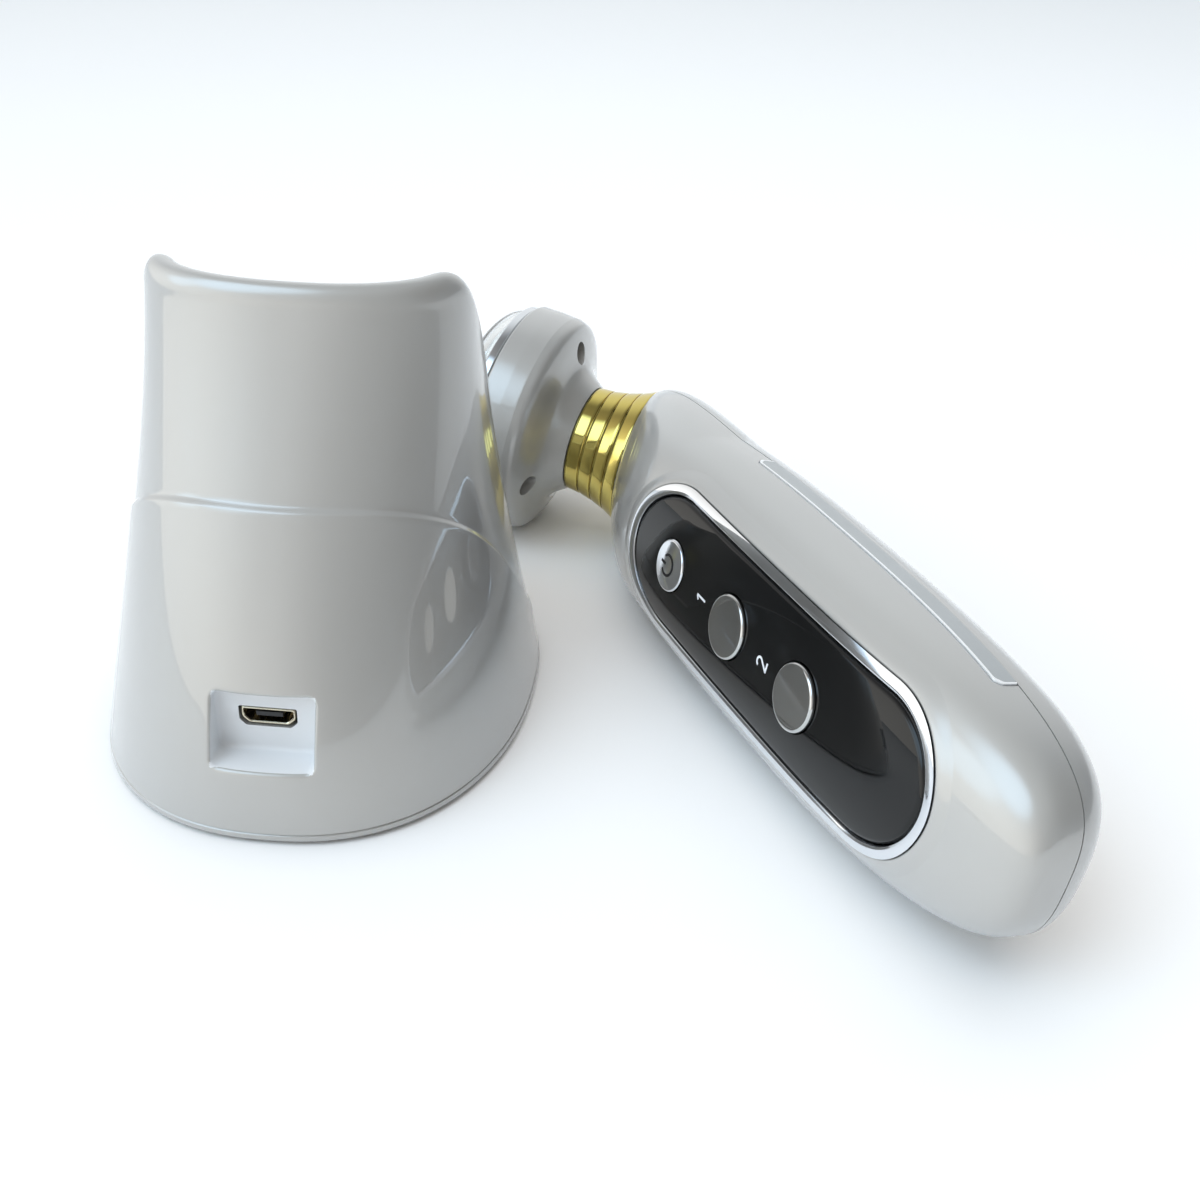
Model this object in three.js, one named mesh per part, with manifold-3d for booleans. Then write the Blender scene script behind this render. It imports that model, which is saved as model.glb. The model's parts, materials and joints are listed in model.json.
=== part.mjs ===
// A handheld LED facial massager and its charging stand, in millimetres, +Z up.
// The origin is on the table, in the middle of the underside of the stand's rubber base mat. +X is to the
// right of someone who faces the stand's rear, and +Y points out of the stand's front.
// The handpiece is modelled in its own frame and then laid on its side next to the stand.
// Its own frame has x across, y out of the button panel and z towards the head. Its origin is inside the body,
// level with the middle button. The two body halves part on a plane a little behind it.

import * as THREE from 'three';
import { mergeVertices } from 'three/addons/utils/BufferGeometryUtils.js';
import Module from 'manifold-3d';

const wasm = await Module();
wasm.setup();

// General fits
const GAP = 0.3;
const REACH = 200;

// Stand: outer form
const STAND_HEIGHT = 68;
const MAT_PROUD = 0.6;
const BASE_HALF_WIDTH = 32.1;
const TOP_HALF_WIDTH = 22.4;
const WIDEST_Y = 4;
const BASE_REAR = 43.4;
const TOP_REAR = 14.3;
const BASE_FRONT = 34;
const TOP_FRONT = 22;
const FLARE_POWER = 1.6;
const REAR_SLOPE_AT_BASE = -4;
const REAR_SLOPE_AT_TOP = -25;
const STAND_SECTION_POWER = 2.3;
const STAND_COLUMNS = 36;
const SHELL_WALL = 2.4;
const LIP_RADIUS = 2.2;
const LIP_DROP = 2;
const RIM_FRONT_HEIGHT = 29;
const RIM_FALL_START = -3;
const RIM_FALL_END = 27;
const RIM_FALL_BULGE = 0.45;

// Stand: the soft crease where the skirt stands proud of the upper wall
const CREASE_HEIGHT = 42;
const CREASE_REAR_Y = -23;
const CREASE_FALL = 0.23;
const CREASE_POWER = 1.4;
const CREASE_LOWEST = 7;
const CREASE_STEP = 0.55;
const CREASE_BLEND = 0.8;

// Stand: charging inlet
const RECESS_WIDTH = 13.9;
const RECESS_LOW = 10.7;
const RECESS_HIGH = 20.6;
const RECESS_DEPTH = 3.8;
const RECESS_CORNER = 1.1;
const RECESS_WALL = 1.6;
const USB_WIDTH = 7.6;
const USB_HEIGHT = 2.8;
const USB_CORNER = 0.9;
const USB_WALL = 0.3;
const USB_LENGTH = 5.6;
const USB_CENTRE_HEIGHT = 16;
const USB_BACK_CLEARANCE = 0.6;
const TONGUE_WIDTH = 3.6;
const TONGUE_THICKNESS = 0.65;

// Stand: base
const COVER_EDGE = 1.6;
const COVER_FLOOR = 1.8;
const COVER_RIM_WIDTH = 1.5;
const COVER_RIM_HEIGHT = 2;
const MAT_HALF_WIDTH = 21;
const MAT_FRONT_Y = 22;
const MAT_REAR_Y = -20;
const MAT_CORNER = 8;
const MAT_SEAT = 0.6;
const SCREW_HEAD_RADIUS = 2.2;
const SCREW_HEAD_THICKNESS = 1.2;
const SCREW_SHANK_RADIUS = 1.1;
const SCREW_LENGTH = 8;
const SCREW_BOSS_WALL = 1.6;
const SCREW_TIP_CLEARANCE = 1;
const COVER_SCREW_X = 9;
const COVER_SCREW_FRONT_Y = 27.5;
const COVER_SCREW_REAR_Y = -25;
const BALLAST_X = 15;
const BALLAST_Y = 9;
const BALLAST_CENTRE_Y = 8;
const BALLAST_THICKNESS = 3;
const CHARGE_BOARD_THICKNESS = 1;
const CHARGE_BOARD_HALF_WIDTH = 6.5;
const CHARGE_BOARD_LENGTH = 15;
const BOARD_POST_RADIUS = 1.8;

// Stand: cup for the handpiece
const CUP_CENTRE_Y = 8.4;
const CUP_HALF_X = 17.6;
const CUP_HALF_Y = 14.8;
const CUP_FLOOR_HEIGHT = 20;
const CUP_WALL = 1.5;
const CUP_FILLET = 3;
const CUP_FILLET_ANGLES = [0, 45];
const CUP_TOP_CLEARANCE = 1.4;
const CUP_SIDE_CLEARANCE = 0.8;

// Sprung charging contacts
const CONTACT_SPACING = 7.6;
const CONTACT_BACK = 9.4;
const BARREL_RADIUS = 1.7;
const BARREL_BORE = 1.05;
const BARREL_LENGTH = 6.4;
const BARREL_FLANGE_RADIUS = 2.5;
const BARREL_FLANGE = 0.6;
const PLUNGER_RADIUS = 0.75;
const PLUNGER_PROUD = 5.2;
const PLUNGER_TIP = 0.5;
const PLUNGER_INSIDE = 2.4;

// Handpiece: body form
const TAIL_Z = -60.1;
const BODY_HALF_WIDTH = 17.6;
const TAIL_POWER = 3.2;
const FRONT_DEPTH = 12.1;
const FRONT_SAG = 2.4;
const FRONT_TAIL_LENGTH = 47.3;
const FRONT_TAIL_POWER = 2.6;
const REAR_DEPTH = 12.8;
const REAR_TAIL_LENGTH = 19.5;
const REAR_TAIL_POWER = 2.25;
const TIP_DEPTH = 1;
const PARTING_Y = -2.6;
const BEND_START_Z = 33;
const BEND_START_HALF_WIDTH = 16.2;
const BEND_POWER = 2.4;
const BEND_FRONT_EASE = [8, 2, 6];
const BEND_REAR_EASE = [0.8, 16, 4, 2.4];
const BODY_POWER = 2.6;
const TAIL_RING_SPAN = 26;
const BODY_COLUMNS = 28;
const INSIDE_COLUMNS = 18;
const INSIDE_DETAIL = 0.6;
const TAIL_STEPS = 7;
const STRAIGHT_STEPS = 4;
const BEND_STEPS = 6;
const BODY_WALL = 2.2;

// Handpiece: neck and head, along the tilted head axis
const HEAD_TILT = 47;
const NECK_HEAD_END_Y = 5.8;
const NECK_HEAD_END_Z = 69.4;
const NECK_LENGTH = 10.4;
const NECK_BODY_RADIUS = 12.2;
const NECK_HEAD_RADIUS = 9.5;
const NECK_BANDS = 4;
const NECK_WAIST_POWER = 1.9;
const GROOVE_WIDTH = 0.5;
const GROOVE_DEPTH = 0.35;
const SPIGOT_RADIUS = 7.8;
const SPIGOT_BORE = 5.6;
const COLLAR_THICKNESS = 2.5;
const SPIGOT_LENGTH = 15;
const HEAD_RADIUS = 20;
const HEAD_BACK = [[8.5, 2.8], [6.6, 4.1], [3.2, 5.2], [1, 6.3], [0.2, 8]];
const HEAD_HOLLOW = [[2.2, 8.6], [4.4, 7.2], [8.2, 6.2], [11.4, 3.6]];
const HEAD_BAND_START = 11;
const HEAD_BAND_END = 14.6;
const HEAD_EDGE = 0.3;
const HEAD_WALL = 2.2;
const HEAD_COLUMNS = 28;
const HEAD_SCREW_INSET = 5.2;
const HEAD_SCREW_CIRCLE = HEAD_RADIUS - HEAD_SCREW_INSET;
const HEAD_RECESS_RADIUS = 1.9;
const HEAD_RECESS_FLOOR = 8.2;
const HEAD_BOSS_RADIUS = 3.1;
const HEAD_BOSS_END = 12.4;
const HEAD_SCREW_RADIUS = 1.55;
const HEAD_SCREW_HEAD = 1.4;
const HEAD_SCREW_SHANK = 0.8;
const HEAD_SCREW_SHANK_LENGTH = 3.2;
const RING_THICKNESS = 1.5;
const RING_RADIUS = HEAD_RADIUS - 0.6;
const LENS_EDGE_RADIUS = HEAD_RADIUS - 1.6;
const LENS_APEX = 23;
const LENS_WALL = 1.6;
const LED_BOARD_RADIUS = HEAD_RADIUS - 4.4;
const LED_BOARD_THICKNESS = 1;
const LAMP_CIRCLE = LED_BOARD_RADIUS - 3;
const LAMP_COUNT = 8;
const LAMP_SIZE = 1.8;
const LAMP_HEIGHT = 1;
const ELECTRODE_CIRCLE = LED_BOARD_RADIUS - 7.2;
const ELECTRODE_RADIUS = 2.6;
const ELECTRODE_PROUD = 0.7;

// Handpiece: button panel
const PANEL_HEAD_Z = 31.6;
const PANEL_TAIL_Z = -45.4;
const LENS_HALF_WIDTH = 10.2;
const PANEL_END_STRETCH = 1.15;
const BEZEL_WIDTH = 1.5;
const BEZEL_PROUD = 0.4;
const LENS_PROUD = 0.1;
const PANEL_THICKNESS = 1.9;
const PANEL_SEAT_DEPTH = 2.5;
const TRAY_FLOOR = 1.4;
const TRAY_RIM = 1.6;
const BUTTON_PITCH = 19;
const MODE_BUTTON_RADIUS = 4.75;
const POWER_BUTTON_RADIUS = 4.1;
const BUTTON_PROUD = 0.7;
const BUTTON_CLEARANCE = 0.3;
const BUTTON_FLANGE = 0.6;
const BUTTON_FLANGE_THICKNESS = 0.8;
const BUTTON_DISH = 0.25;
const BUTTON_EDGE = 0.5;
const BUTTON_TRAVEL = 0.5;

// Handpiece: side strips and tail contacts
const STRIP_HEAD_Z = 22;
const STRIP_TAIL_Z = -41.4;
const STRIP_WIDTH = 3.1;
const STRIP_CHAMFER = 0.9;
const STRIP_PROUD = 0.2;
const STRIP_SINK = 1;
const TAIL_PAD_RADIUS = 1.8;
const TAIL_PAD_SINK = 1.4;
const TAIL_PAD_REACH = 14;

// Handpiece: inside
const BOARD_HALF_WIDTH = 10.5;
const BOARD_TOP_Y = 3;
const BOARD_THICKNESS = 1.2;
const BOARD_HEAD_Z = 23.4;
const BOARD_TAIL_Z = -30;
const SWITCH_SIZE = 5.2;
const SWITCH_NUB = 0.6;
const SWITCH_NUB_RADIUS = 1.6;
const BATTERY_WIDTH = 20;
const BATTERY_THICKNESS = 6.4;
const BATTERY_LENGTH = 40;
const BATTERY_CENTRE_Z = -4;
const BATTERY_SEAT_Y = -8.4;
const BODY_SCREW_HEAD_Z = 27.6;
const BODY_SCREW_TAIL_Z = -34;
const BODY_SCREW_HEAD_RADIUS = 1.8;
const BODY_SCREW_HEAD_THICKNESS = 1.2;
const BODY_SCREW_SHANK_RADIUS = 0.9;
const BODY_SCREW_LENGTH = 9;
const BODY_SCREW_RIM = 1;
const BODY_POST_RADIUS = 2.6;
const BODY_POST_TOP_Y = 5;
const RIB_THICKNESS = 1.6;
const MOTOR_RADIUS = 3;
const MOTOR_LENGTH = 13;
const MOTOR_START_Z = 32.5;
const MOTOR_Y = -3.5;
const WEIGHT_RADIUS = 2.9;
const WEIGHT_LENGTH = 4;
const WEIGHT_GAP = 1.2;
const MOTOR_SHAFT_RADIUS = 0.5;

// Handpiece: how it lies beside the stand
const LYING_X = 70.76;
const LYING_Y = -3.4;
const LYING_YAW = 26.92;
const LYING_PITCH = -0.86;
const LYING_ROLL = 12.71;
const TABLE_CLEARANCE = 0.05;

// Materials
const finish = (color, roughness, metalness) => new THREE.MeshStandardMaterial(
  { color, roughness, metalness },
);
const pearl = finish('#d6d4cc', 0.3, 0.05);
const palePlastic = finish('#c4cad0', 0.45, 0);
const blackGloss = finish('#15171a', 0.08, 0);
const blackRubber = finish('#1d1d1f', 0.85, 0);
const chrome = finish('#d4d6d8', 0.12, 1);
const gold = finish('#c9a93c', 0.14, 1);
const satinMetal = finish('#868e97', 0.4, 0.8);
const steel = finish('#8d8f92', 0.4, 0.9);
const nickel = finish('#b7ab8a', 0.3, 0.9);
const boardGreen = finish('#1f5a3a', 0.6, 0);
const batteryBlue = finish('#3a5f8c', 0.5, 0);
const clearPlastic = finish('#dfe8ee', 0.08, 0);

// Solids
function solidOf(geometry) {
  const bare = geometry.index ? geometry.clone() : geometry;
  bare.deleteAttribute('normal');
  bare.deleteAttribute('uv');
  const merged = mergeVertices(bare, 1e-4);
  return new wasm.Manifold(new wasm.Mesh({
    numProp: 3,
    vertProperties: new Float32Array(merged.attributes.position.array),
    triVerts: new Uint32Array(merged.index.array),
  }));
}

function geometryOf(solid) {
  const mesh = solid.getMesh();
  const geometry = new THREE.BufferGeometry();
  geometry.setAttribute('position', new THREE.BufferAttribute(new Float32Array(mesh.vertProperties), 3));
  geometry.setIndex(new THREE.BufferAttribute(new Uint32Array(mesh.triVerts), 1));
  geometry.computeVertexNormals();
  return geometry;
}

const union = (first, ...rest) => rest.reduce((sum, next) => sum.add(next), first);
const without = (first, ...rest) => rest.reduce((left, next) => left.subtract(next), first);

// A closed solid through rings of points that run counter-clockwise as seen from its last ring.
function loft(rings) {
  const columns = rings[0].length;
  const points = rings.flat();
  const faces = [];
  for (let row = 0; row + 1 < rings.length; row += 1) {
    for (let column = 0; column < columns; column += 1) {
      const next = (column + 1) % columns;
      const low = row * columns;
      const high = low + columns;
      faces.push(low + column, low + next, high + next);
      faces.push(low + column, high + next, high + column);
    }
  }
  const top = (rings.length - 1) * columns;
  const middles = [rings[0], rings[rings.length - 1]].map(
    (ring) => ring.reduce((sum, point) => sum.add(point), new THREE.Vector3()).divideScalar(columns),
  );
  const bottomMiddle = points.push(...middles) - 2;
  for (let column = 0; column < columns; column += 1) {
    const next = (column + 1) % columns;
    faces.push(bottomMiddle, next, column);
    faces.push(bottomMiddle + 1, top + column, top + next);
  }
  return solidOf(new THREE.BufferGeometry().setFromPoints(points).setIndex(faces));
}

// A closed ring whose profile changes as it goes round. Each row is one loop, and the last joins the first.
function ringSweep(rows) {
  const columns = rows[0].length;
  const faces = [];
  for (let row = 0; row < rows.length; row += 1) {
    const low = row * columns;
    const high = ((row + 1) % rows.length) * columns;
    for (let column = 0; column < columns; column += 1) {
      const next = (column + 1) % columns;
      faces.push(low + column, low + next, high + next);
      faces.push(low + column, high + next, high + column);
    }
  }
  return solidOf(new THREE.BufferGeometry().setFromPoints(rows.flat()).setIndex(faces));
}

function boxSolid(low, high) {
  const size = high.map((value, axis) => value - low[axis]);
  const geometry = new THREE.BoxGeometry(...size);
  geometry.translate(...low.map((value, axis) => value + size[axis] / 2));
  return solidOf(geometry);
}

// An outline in x and z, pushed along y from nearY to farY.
function extrudeAlongY(shape, nearY, farY, curveSegments = 8) {
  const geometry = new THREE.ExtrudeGeometry(shape, {
    depth: farY - nearY, bevelEnabled: false, curveSegments,
  });
  geometry.rotateX(Math.PI / 2);
  geometry.translate(0, farY, 0);
  return solidOf(geometry);
}

// A turned solid. The profile holds [radius, height] pairs, and height runs along +Z.
function turned(profile, segments = 32) {
  const points = profile.map(([radius, height]) => new THREE.Vector2(radius, height));
  const geometry = new THREE.LatheGeometry(points, segments);
  geometry.rotateX(Math.PI / 2);
  return solidOf(geometry);
}

const rod = (radius, low, high, segments = 20) => turned(
  [[0, low], [radius, low], [radius, high], [0, high]], segments,
);

function roundedRectangle(halfWidth, low, high, radius) {
  const shape = new THREE.Shape();
  shape.moveTo(-halfWidth + radius, low);
  shape.lineTo(halfWidth - radius, low);
  shape.absarc(halfWidth - radius, low + radius, radius, -Math.PI / 2, 0);
  shape.lineTo(halfWidth, high - radius);
  shape.absarc(halfWidth - radius, high - radius, radius, 0, Math.PI / 2);
  shape.lineTo(-halfWidth + radius, high);
  shape.absarc(-halfWidth + radius, high - radius, radius, Math.PI / 2, Math.PI);
  shape.lineTo(-halfWidth, low + radius);
  shape.absarc(-halfWidth + radius, low + radius, radius, Math.PI, Math.PI * 1.5);
  return shape;
}

const mixed = (from, to, share) => from + (to - from) * share;
const rounded = (value, power) => Math.sign(value) * Math.abs(value) ** (2 / power);

// Stand form
const heightShare = (z) => z / STAND_HEIGHT;
const flare = (base, top, share) => top + (base - top) * Math.max(1 - share, 0) ** FLARE_POWER;

function rearDepth(share) {
  const square = share * share;
  const cube = square * share;
  return BASE_REAR * (2 * cube - 3 * square + 1) + TOP_REAR * (3 * square - 2 * cube)
    + REAR_SLOPE_AT_BASE * (cube - 2 * square + share) + REAR_SLOPE_AT_TOP * (cube - square);
}

// The stand's outer surface at a height, drawn in by inset. Angle 0 is +X and 90 degrees is the front.
function standPoint(angle, z, inset = 0) {
  const share = heightShare(z);
  const across = rounded(Math.cos(angle), STAND_SECTION_POWER);
  const along = rounded(Math.sin(angle), STAND_SECTION_POWER);
  const depth = along > 0 ? flare(BASE_FRONT, TOP_FRONT, share) : rearDepth(share);
  return new THREE.Vector3(
    (flare(BASE_HALF_WIDTH, TOP_HALF_WIDTH, share) - inset) * across,
    WIDEST_Y + (depth - inset) * along,
    z,
  );
}

const rimFall = new THREE.CubicBezierCurve(
  new THREE.Vector2(RIM_FALL_START, STAND_HEIGHT),
  new THREE.Vector2(mixed(RIM_FALL_START, RIM_FALL_END, RIM_FALL_BULGE), STAND_HEIGHT),
  new THREE.Vector2(mixed(RIM_FALL_END, RIM_FALL_START, RIM_FALL_BULGE), RIM_FRONT_HEIGHT),
  new THREE.Vector2(RIM_FALL_END, RIM_FRONT_HEIGHT),
);

// The height of the rim above a place y, seen from the side.
function rimAt(y) {
  if (y <= RIM_FALL_START) return STAND_HEIGHT;
  if (y >= RIM_FALL_END) return RIM_FRONT_HEIGHT;
  let low = 0;
  let high = 1;
  for (let turn = 0; turn < 24; turn += 1) {
    const middle = (low + high) / 2;
    if (rimFall.getPoint(middle).x < y) low = middle;
    else high = middle;
  }
  return rimFall.getPoint(low).y;
}

const creaseAt = (y) => Math.max(
  CREASE_HEIGHT - CREASE_FALL * Math.max(y - CREASE_REAR_Y, 0) ** CREASE_POWER,
  CREASE_LOWEST,
);

// The height at which the wall at an angle meets a curve that falls towards the front.
function heightWhere(angle, curve) {
  let low = 0;
  let high = STAND_HEIGHT;
  for (let turn = 0; turn < 30; turn += 1) {
    const middle = (low + high) / 2;
    if (middle < curve(standPoint(angle, middle).y)) low = middle;
    else high = middle;
  }
  return low;
}

const standAngles = Array.from(
  { length: STAND_COLUMNS },
  (_, column) => (column / STAND_COLUMNS) * 2 * Math.PI,
);

// The skirt below the crease stands proud, least at the front.
function skirtProud(angle) {
  return CREASE_STEP * (0.5 - 0.5 * Math.sin(angle)) ** 0.5;
}

const rimHeights = standAngles.map((angle) => heightWhere(angle, rimAt));
const creaseHeights = standAngles.map((angle) => heightWhere(angle, creaseAt));
const coverTop = MAT_PROUD + COVER_EDGE;
const shellBottom = coverTop + GAP;

// Cover screws run up through the cover into bosses on the shell.
const coverScrewPlaces = [COVER_SCREW_FRONT_Y, COVER_SCREW_REAR_Y].flatMap(
  (y) => [[-COVER_SCREW_X, y], [COVER_SCREW_X, y]],
);
const coverFloor = MAT_PROUD + COVER_FLOOR;
const coverRimTop = coverFloor + COVER_RIM_HEIGHT;
const bossBottom = coverFloor + 1;
const screwTip = MAT_PROUD + GAP / 2 + SCREW_LENGTH;

function shellRow(heightOf, insetOf) {
  return standAngles.map((angle, column) => standPoint(angle, heightOf(column), insetOf(angle, column)));
}

function standShell() {
  const rows = [];
  const skirtRows = [0, 0.3, 0.65, 1];
  const wallRows = [0, 0.33, 0.67, 1];
  const lipAngles = [30, 62, 90, 125, 180];
  const innerRows = [0, 0.4, 0.7, 1];
  const creaseTop = (column) => creaseHeights[column] + CREASE_BLEND;
  const lipStart = (column) => rimHeights[column] - LIP_RADIUS;
  const lipEnd = (column) => lipStart(column) - LIP_DROP;
  skirtRows.forEach((share) => rows.push(shellRow(
    (column) => mixed(shellBottom, creaseHeights[column], share),
    (angle) => -skirtProud(angle) * share,
  )));
  wallRows.forEach((share) => rows.push(
    shellRow((column) => mixed(creaseTop(column), lipStart(column), share), () => 0),
  ));
  lipAngles.forEach((degrees) => {
    const turn = THREE.MathUtils.degToRad(degrees);
    rows.push(shellRow(
      (column) => lipStart(column) + LIP_RADIUS * Math.sin(turn),
      () => LIP_RADIUS * (1 - Math.cos(turn)),
    ));
  });
  rows.push(shellRow(lipEnd, () => 2 * LIP_RADIUS));
  innerRows.forEach((share) => rows.push(
    shellRow((column) => mixed(lipEnd(column), shellBottom, share), () => SHELL_WALL),
  ));
  const wall = ringSweep(rows);
  const midWall = loft([0, 0.5, 1].map(
    (share) => shellRow(() => mixed(shellBottom, RECESS_HIGH + 2 * RECESS_WALL, share), () => SHELL_WALL / 2),
  ));
  const bosses = coverScrewPlaces.map(([x, y]) => {
    const toWall = Math.sign(y) * REACH;
    const top = screwTip + SCREW_TIP_CLEARANCE + SCREW_BOSS_WALL;
    const web = boxSolid(
      [x - SCREW_BOSS_WALL / 2, Math.min(y, toWall), coverRimTop + GAP],
      [x + SCREW_BOSS_WALL / 2, Math.max(y, toWall), top],
    );
    return rod(SCREW_SHANK_RADIUS + SCREW_BOSS_WALL, bossBottom, top, 14).translate([x, y, 0]).add(web)
      .intersect(midWall);
  });
  const screwHoles = coverScrewPlaces.map(([x, y]) => rod(
    SCREW_SHANK_RADIUS + GAP / 2, 0, screwTip + SCREW_TIP_CLEARANCE, 12,
  ).translate([x, y, 0]));
  const pocketBack = recessBack + RECESS_WALL;
  const pocket = extrudeAlongY(
    roundedRectangle(
      RECESS_WIDTH / 2 + RECESS_WALL, RECESS_LOW - RECESS_WALL, RECESS_HIGH + RECESS_WALL,
      RECESS_CORNER + RECESS_WALL,
    ),
    recessBack - RECESS_DEPTH * 2, pocketBack,
  ).intersect(midWall);
  const mouth = extrudeAlongY(
    roundedRectangle(RECESS_WIDTH / 2, RECESS_LOW, RECESS_HIGH, RECESS_CORNER), -REACH, recessBack,
  );
  const portHole = extrudeAlongY(usbOutline(GAP / 2), recessBack - 1, pocketBack + 1);
  return without(union(wall, pocket, ...bosses), mouth, portHole, ...screwHoles);
}

// Charging inlet
const recessMiddle = (RECESS_LOW + RECESS_HIGH) / 2;
const recessBack = WIDEST_Y - rearDepth(heightShare(recessMiddle)) + RECESS_DEPTH;

// The micro inlet's outline: square above, with chamfered corners below.
function usbOutline(growth) {
  const half = USB_WIDTH / 2 + growth;
  const high = USB_CENTRE_HEIGHT + USB_HEIGHT / 2 + growth;
  const low = USB_CENTRE_HEIGHT - USB_HEIGHT / 2 - growth;
  const shape = new THREE.Shape();
  shape.moveTo(-half + USB_CORNER, low);
  shape.lineTo(half - USB_CORNER, low);
  shape.lineTo(half, low + USB_CORNER);
  shape.lineTo(half, high);
  shape.lineTo(-half, high);
  shape.lineTo(-half, low + USB_CORNER);
  return shape;
}

const usbFront = recessBack + 0.2;
const usbEnd = usbFront + USB_LENGTH;

function usbShell() {
  const outer = extrudeAlongY(usbOutline(-GAP / 2), usbFront, usbEnd);
  const inner = extrudeAlongY(usbOutline(-GAP / 2 - USB_WALL), usbFront - 1, usbEnd - USB_BACK_CLEARANCE);
  return without(outer, inner);
}

function usbTongue() {
  return boxSolid(
    [-TONGUE_WIDTH / 2, usbFront + 0.5, USB_CENTRE_HEIGHT - TONGUE_THICKNESS / 2],
    [TONGUE_WIDTH / 2, usbEnd - USB_BACK_CLEARANCE - 0.1, USB_CENTRE_HEIGHT + TONGUE_THICKNESS / 2],
  );
}

const chargeBoardTop = USB_CENTRE_HEIGHT - USB_HEIGHT / 2 + GAP / 2 - GAP;
const chargeBoardLow = chargeBoardTop - CHARGE_BOARD_THICKNESS;
const chargeBoardRear = recessBack + RECESS_WALL + GAP;

function chargeBoard() {
  return boxSolid(
    [-CHARGE_BOARD_HALF_WIDTH, chargeBoardRear, chargeBoardLow],
    [CHARGE_BOARD_HALF_WIDTH, chargeBoardRear + CHARGE_BOARD_LENGTH, chargeBoardTop],
  );
}

// Base
function matShape(growth) {
  const shape = roundedRectangle(
    MAT_HALF_WIDTH + growth, MAT_REAR_Y - growth, MAT_FRONT_Y + growth, MAT_CORNER + growth,
  );
  return (low, high) => {
    const depth = high - low;
    const geometry = new THREE.ExtrudeGeometry(shape, { depth, bevelEnabled: false, curveSegments: 5 });
    geometry.translate(0, 0, low);
    return solidOf(geometry);
  };
}

const baseMat = () => matShape(0)(0, MAT_PROUD + MAT_SEAT - GAP);

function baseCover() {
  const row = (z, inset) => standAngles.map((angle) => standPoint(angle, z, inset));
  const plugInset = SHELL_WALL + GAP;
  const wellInset = plugInset + COVER_RIM_WIDTH;
  const tray = loft([
    row(MAT_PROUD, 0.5), row(MAT_PROUD + 0.5, 0), row(coverTop, 0), row(coverTop, plugInset),
    row(coverRimTop, plugInset), row(coverRimTop, wellInset), row(coverFloor, wellInset),
  ]);
  const postX = CHARGE_BOARD_HALF_WIDTH - BOARD_POST_RADIUS - 0.5;
  const postY = chargeBoardRear + CHARGE_BOARD_LENGTH * 0.6;
  const post = rod(BOARD_POST_RADIUS, coverFloor - 0.5, chargeBoardLow - GAP, 12);
  const posts = [-1, 1].map((side) => post.translate([side * postX, postY, 0]));
  const pads = coverScrewPlaces.map(([x, y]) => rod(
    SCREW_HEAD_RADIUS + GAP + 1, coverTop - 0.5, bossBottom - GAP, 14,
  ).translate([x, y, 0]));
  const screwHoles = coverScrewPlaces.map(([x, y]) => union(
    rod(SCREW_HEAD_RADIUS + GAP, -1, MAT_PROUD + SCREW_HEAD_THICKNESS + GAP, 14),
    rod(SCREW_SHANK_RADIUS + GAP, 0, REACH, 12),
  ).translate([x, y, 0]));
  const seat = matShape(GAP)(-1, MAT_PROUD + MAT_SEAT);
  return without(union(tray, ...posts, ...pads), seat, ...screwHoles);
}

function crossHeadScrew(headRadius, headThickness, shankRadius, length) {
  const blank = turned([
    [0, 0], [headRadius, 0], [headRadius, headThickness], [shankRadius, headThickness], [shankRadius, length],
    [0, length],
  ], 12);
  const slot = headRadius * 0.62;
  const across = boxSolid([-slot, -headRadius * 0.13, -1], [slot, headRadius * 0.13, headThickness * 0.55]);
  return without(blank, across, across.rotate([0, 0, 90]));
}

function ballastPlate() {
  const shape = roundedRectangle(BALLAST_X, -BALLAST_Y, BALLAST_Y, 3);
  const depth = BALLAST_THICKNESS;
  const geometry = new THREE.ExtrudeGeometry(shape, { depth, bevelEnabled: false, curveSegments: 4 });
  geometry.translate(0, BALLAST_CENTRE_Y, coverFloor + GAP);
  return solidOf(geometry);
}

// Cup: its wall runs from under the shell's lip to an oval floor, and its two sides are one surface.
const cupRim = SHELL_WALL + CUP_SIDE_CLEARANCE + CUP_WALL;

function cupRing(share, growth) {
  return standAngles.map((angle) => {
    const rim = heightWhere(angle, rimAt) - LIP_RADIUS - LIP_DROP - CUP_TOP_CLEARANCE;
    const top = standPoint(angle, rim, cupRim - growth);
    return top.lerp(floorPoint(angle, -growth, CUP_FLOOR_HEIGHT + CUP_FILLET), share);
  });
}

function floorPoint(angle, inset, z) {
  return new THREE.Vector3(
    (CUP_HALF_X - inset) * rounded(Math.cos(angle), STAND_SECTION_POWER),
    CUP_CENTRE_Y + (CUP_HALF_Y - inset) * rounded(Math.sin(angle), STAND_SECTION_POWER),
    z,
  );
}

function cupSide(growth) {
  const fillet = CUP_FILLET_ANGLES.map((degrees) => {
    const turn = THREE.MathUtils.degToRad(degrees);
    const inset = CUP_FILLET * (1 - Math.sin(turn)) - growth;
    const z = CUP_FLOOR_HEIGHT + CUP_FILLET * (1 - Math.cos(turn)) - growth;
    return standAngles.map((angle) => floorPoint(angle, inset, z));
  });
  return [...fillet, ...[1, 0.5, 0].map((share) => cupRing(share, growth))];
}

const contactY = CUP_CENTRE_Y - CONTACT_BACK;
const barrelTop = CUP_FLOOR_HEIGHT + GAP + BARREL_FLANGE;

function standLiner() {
  const cup = loft([...cupSide(CUP_WALL), ...cupSide(0).reverse()]);
  const holes = [-1, 1].map((side) => rod(BARREL_RADIUS + GAP, 0, REACH, 14).translate(
    [side * CONTACT_SPACING / 2, contactY, 0],
  ));
  return without(cup, ...holes);
}

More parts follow.
